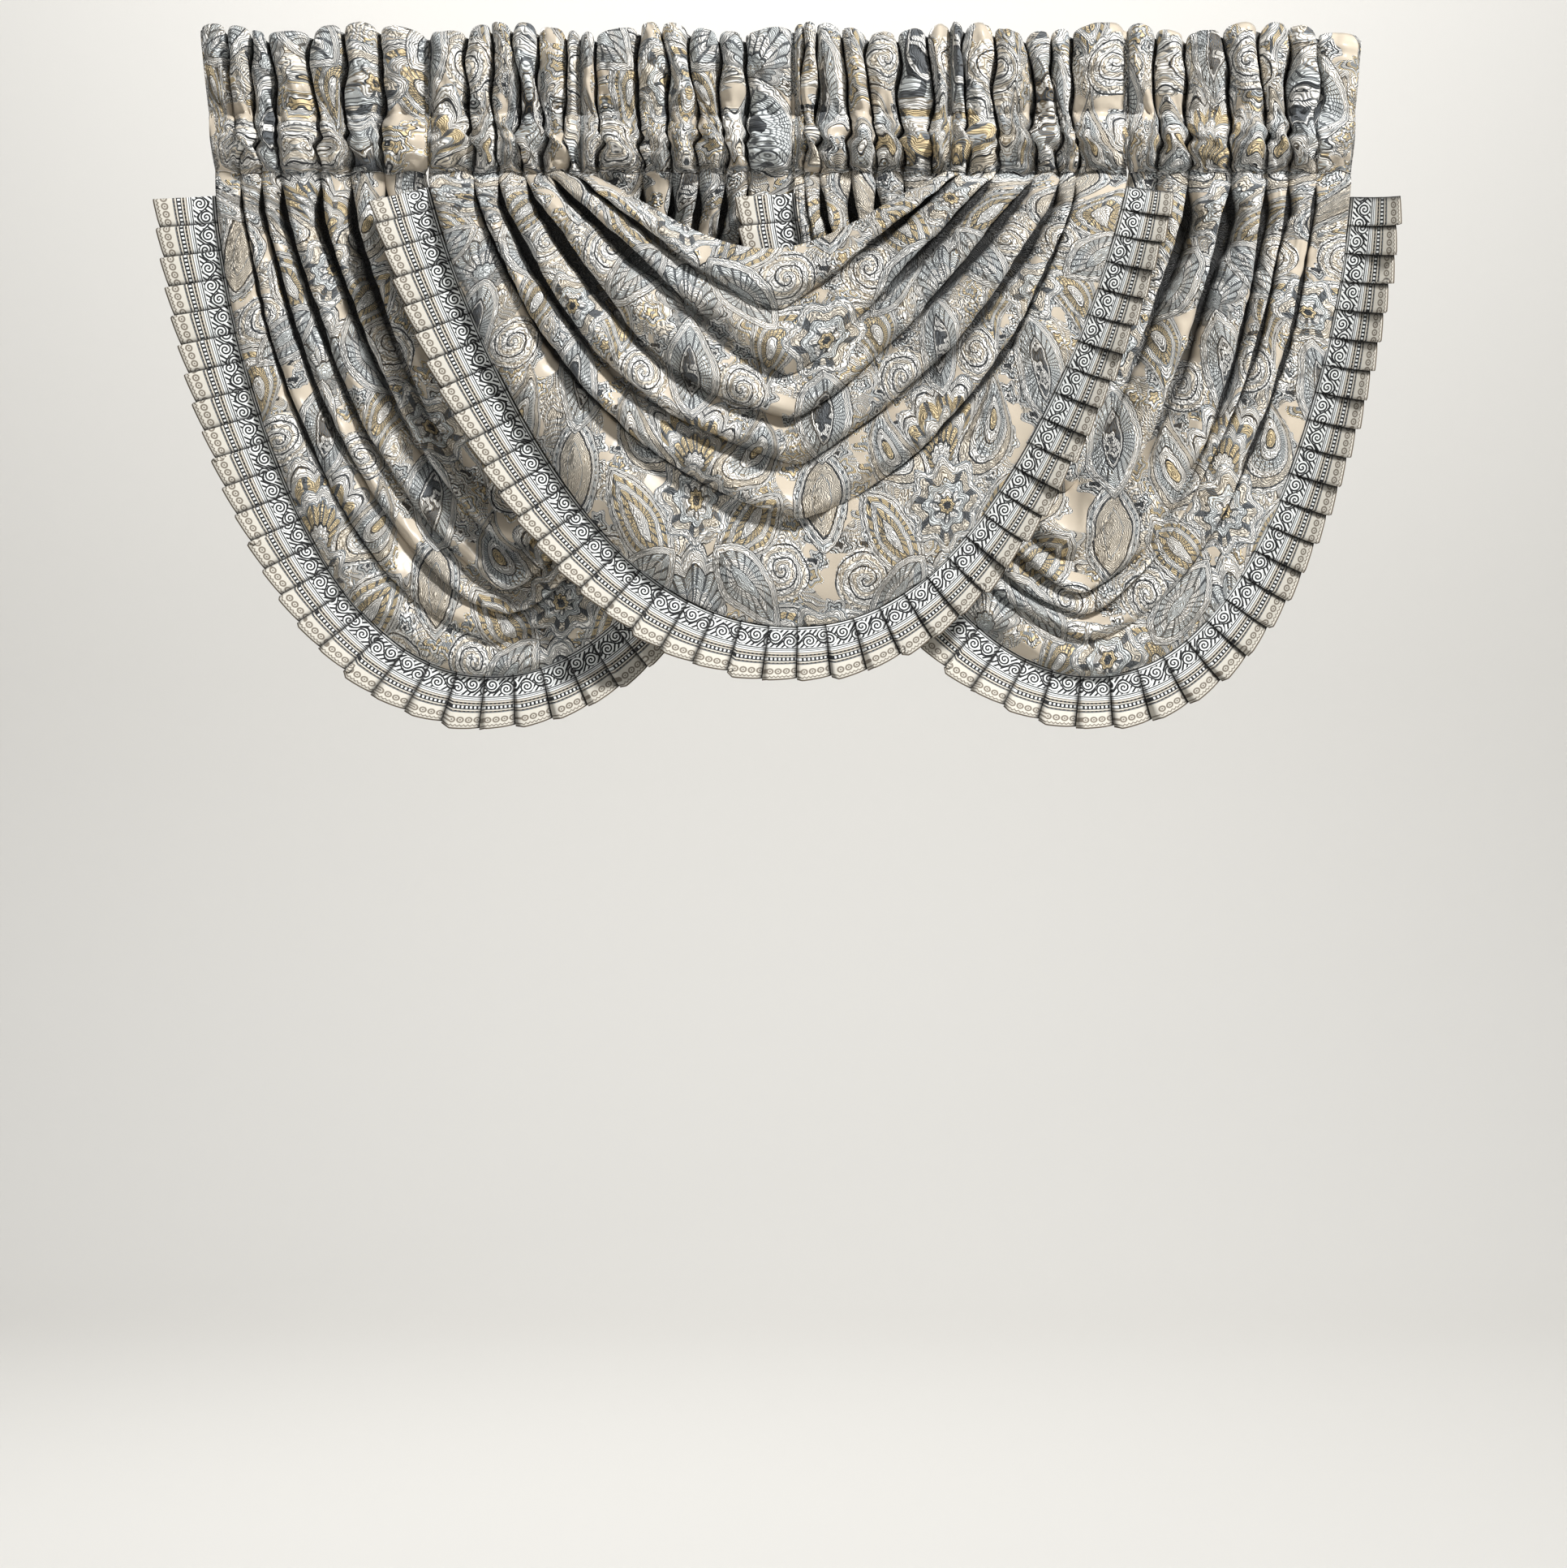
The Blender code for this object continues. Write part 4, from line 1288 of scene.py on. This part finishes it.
        # Painted shade: the colour is darkened under each lapped blade.
        depth = lay(tree, "Attribute", attribute_name="painted_fold_shade", out="Fac")
        painted_shade = lay(tree, "MapRange", depth, 0.2, 0.85, 1.0, 0.03, interpolation_type="SMOOTHSTEP")
        dark = lay(tree, "VectorMath.SCALE", colour, painted_shade)
        tree.links.new(dark, shader.inputs["Base Color"])
        # Ribbed weave across the border, 1.5 mm apart, drawn coarser than the real 0.5 mm.
        ribs = lay(tree, "Math.MULTIPLY", along, 2.0 * math.pi / (1.5 * MM))
        ribs = lay(tree, "Math.SINE", ribs)
        relief = lay(tree, "RGBToBW", colour)
        relief = lay(tree, "Math.MULTIPLY_ADD", ribs, 0.06, relief)
        raised = lay(tree, "Bump", 0.6, 0.0006, None, relief)
        tree.links.new(raised, shader.inputs["Normal"])
        shader.inputs["Roughness"].default_value = 0.82
        shader.inputs["Sheen Weight"].default_value = 0.1
        return material


@dataclass(frozen=True)
class LiningFinish:
    """Cotton sateen lining: a plain warm white weave with a faint shine and uneven threads."""

    colour: str = "E6E0D4"
    thread: float = 1.6 * MM

    def build(self) -> bpy.types.Material:
        """Make the lining; its 0.3 mm threads are drawn 1.6 mm apart so that they show."""
        material, tree, shader = new_material("cotton_sateen_lining")
        cloth = lay(tree, "UVMap", uv_map="flat_cloth")
        weave = lay(tree, "TexWave", cloth, 2.0 * math.pi / (20.0 * self.thread), 0.6, 2.0)
        slub = lay(tree, "TexNoise", cloth, 60.0, 3.0, 0.6, noise_dimensions="2D")
        tone = lay(tree, "MapRange", slub, 0.3, 0.7, 0.92, 1.0)
        colour = lay(tree, "VectorMath.SCALE", linear(self.colour)[:3], tone)
        tree.links.new(colour, shader.inputs["Base Color"])
        raised = lay(tree, "Bump", 0.3, 0.0004, None, weave)
        tree.links.new(raised, shader.inputs["Normal"])
        shader.inputs["Roughness"].default_value = 0.7
        shader.inputs["Sheen Weight"].default_value = 0.1
        return material


@dataclass(frozen=True)
class Studio:
    """A plain pale wall and floor, soft lights, and the camera at the picture's place."""

    wall: str = "E0DEDA"
    lamp: str = "FDFDFC"
    air: str = "EEF0F2"
    air_strength: float = 0.16
    wall_y: float = 7.0
    floor_z: float = -1.95
    cove: float = 1.5
    distance: float = 4.0
    look_x: float = 0.004
    look_z: float = -0.723
    lens: float = 95.4

    def paint(self) -> bpy.types.Material:
        """Make the matt wall paint, rolled on: an even surface with a fine grain."""
        material, tree, shader = new_material("matt_wall_paint")
        place = lay(tree, "TexCoord", out="Object")
        grain = lay(tree, "TexNoise", place, 350.0, 2.0)
        raised = lay(tree, "Bump", 0.1, 0.001, None, grain)
        tree.links.new(raised, shader.inputs["Normal"])
        shader.inputs["Base Color"].default_value = linear(self.wall)
        shader.inputs["Roughness"].default_value = 0.9
        return material

    def backdrop(self) -> None:
        """Make the floor and the far wall in one sheet, with a round cove between them."""
        sheet = bmesh.new()
        bmesh.ops.create_grid(sheet, x_segments=1, y_segments=120, size=15.0)
        arc = self.cove * math.pi / 2.0
        for vertex in sheet.verts:
            run = vertex.co.y
            turn = min(max(-run / self.cove, 0.0), math.pi / 2.0)
            vertex.co.y = self.wall_y - self.cove * (1.0 - math.cos(turn)) - max(-run - arc, 0.0)
            vertex.co.z = self.floor_z + self.cove * (1.0 - math.sin(turn)) + max(run, 0.0)
        mesh = bpy.data.meshes.new("backdrop")
        sheet.to_mesh(mesh)
        sheet.free()
        mesh.polygons.foreach_set("use_smooth", np.ones(len(mesh.polygons), dtype=bool))
        mesh.materials.append(self.paint())
        wall = bpy.data.objects.new("backdrop", mesh)
        bpy.context.scene.collection.objects.link(wall)

    def light(self, name: str, place: tuple, size: float, power: float,
              aim: tuple = (0.0, 0.0, -0.3)) -> None:
        """Hang a soft square light that looks at a point."""
        lamp = bpy.data.lights.new(name, "AREA")
        lamp.shape = "SQUARE"
        lamp.size = size
        lamp.energy = power
        lamp.color = linear(self.lamp)[:3]
        holder = bpy.data.objects.new(name, lamp)
        holder.location = place
        holder.rotation_euler = (Vector(aim) - Vector(place)).to_track_quat("-Z", "Y").to_euler()
        bpy.context.scene.collection.objects.link(holder)

    def build(self) -> None:
        """Set the camera, the lights, the world and the backdrop."""
        camera = bpy.data.cameras.new("camera")
        camera.lens = self.lens
        camera.clip_start = 0.05
        holder = bpy.data.objects.new("camera", camera)
        holder.location = (self.look_x, -self.distance, self.look_z)
        holder.rotation_euler = (math.radians(90.0), 0.0, 0.0)
        bpy.context.scene.collection.objects.link(holder)
        bpy.context.scene.camera = holder
        self.light("key_light", (2.4, -2.7, 2.6), 0.6, 325.0)
        self.light("fill_light", (-1.9, -2.8, 0.2), 1.4, 12.0)
        self.light("back_light", (-1.6, 3.4, 1.8), 1.2, 65.0)
        self.light("wall_light", (0.0, 3.8, 3.6), 2.0, 190.0, (0.0, 7.0, 0.4))
        world = bpy.data.worlds.new("studio")
        world.use_nodes = True
        world.node_tree.nodes["Background"].inputs[0].default_value = linear(self.air)
        world.node_tree.nodes["Background"].inputs[1].default_value = self.air_strength
        bpy.context.scene.world = world
        bpy.context.scene.view_settings.view_transform = "Standard"
        self.backdrop()


def main() -> None:
    """Build the valance's looks piece by piece."""
    logging.basicConfig(level=logging.INFO)
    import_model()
    Studio().build()
    jacquard = JacquardFinish().build()
    woven = BorderFinish().build()
    lining = LiningFinish().build()
    for panel in PANELS:
        swag = Swag(panel)
        swag.build((jacquard, lining))
        Border(panel, swag).build(woven)
        for side in Side:
            Heading(panel, side, swag).build(jacquard)


if __name__ == "__main__":
    main()
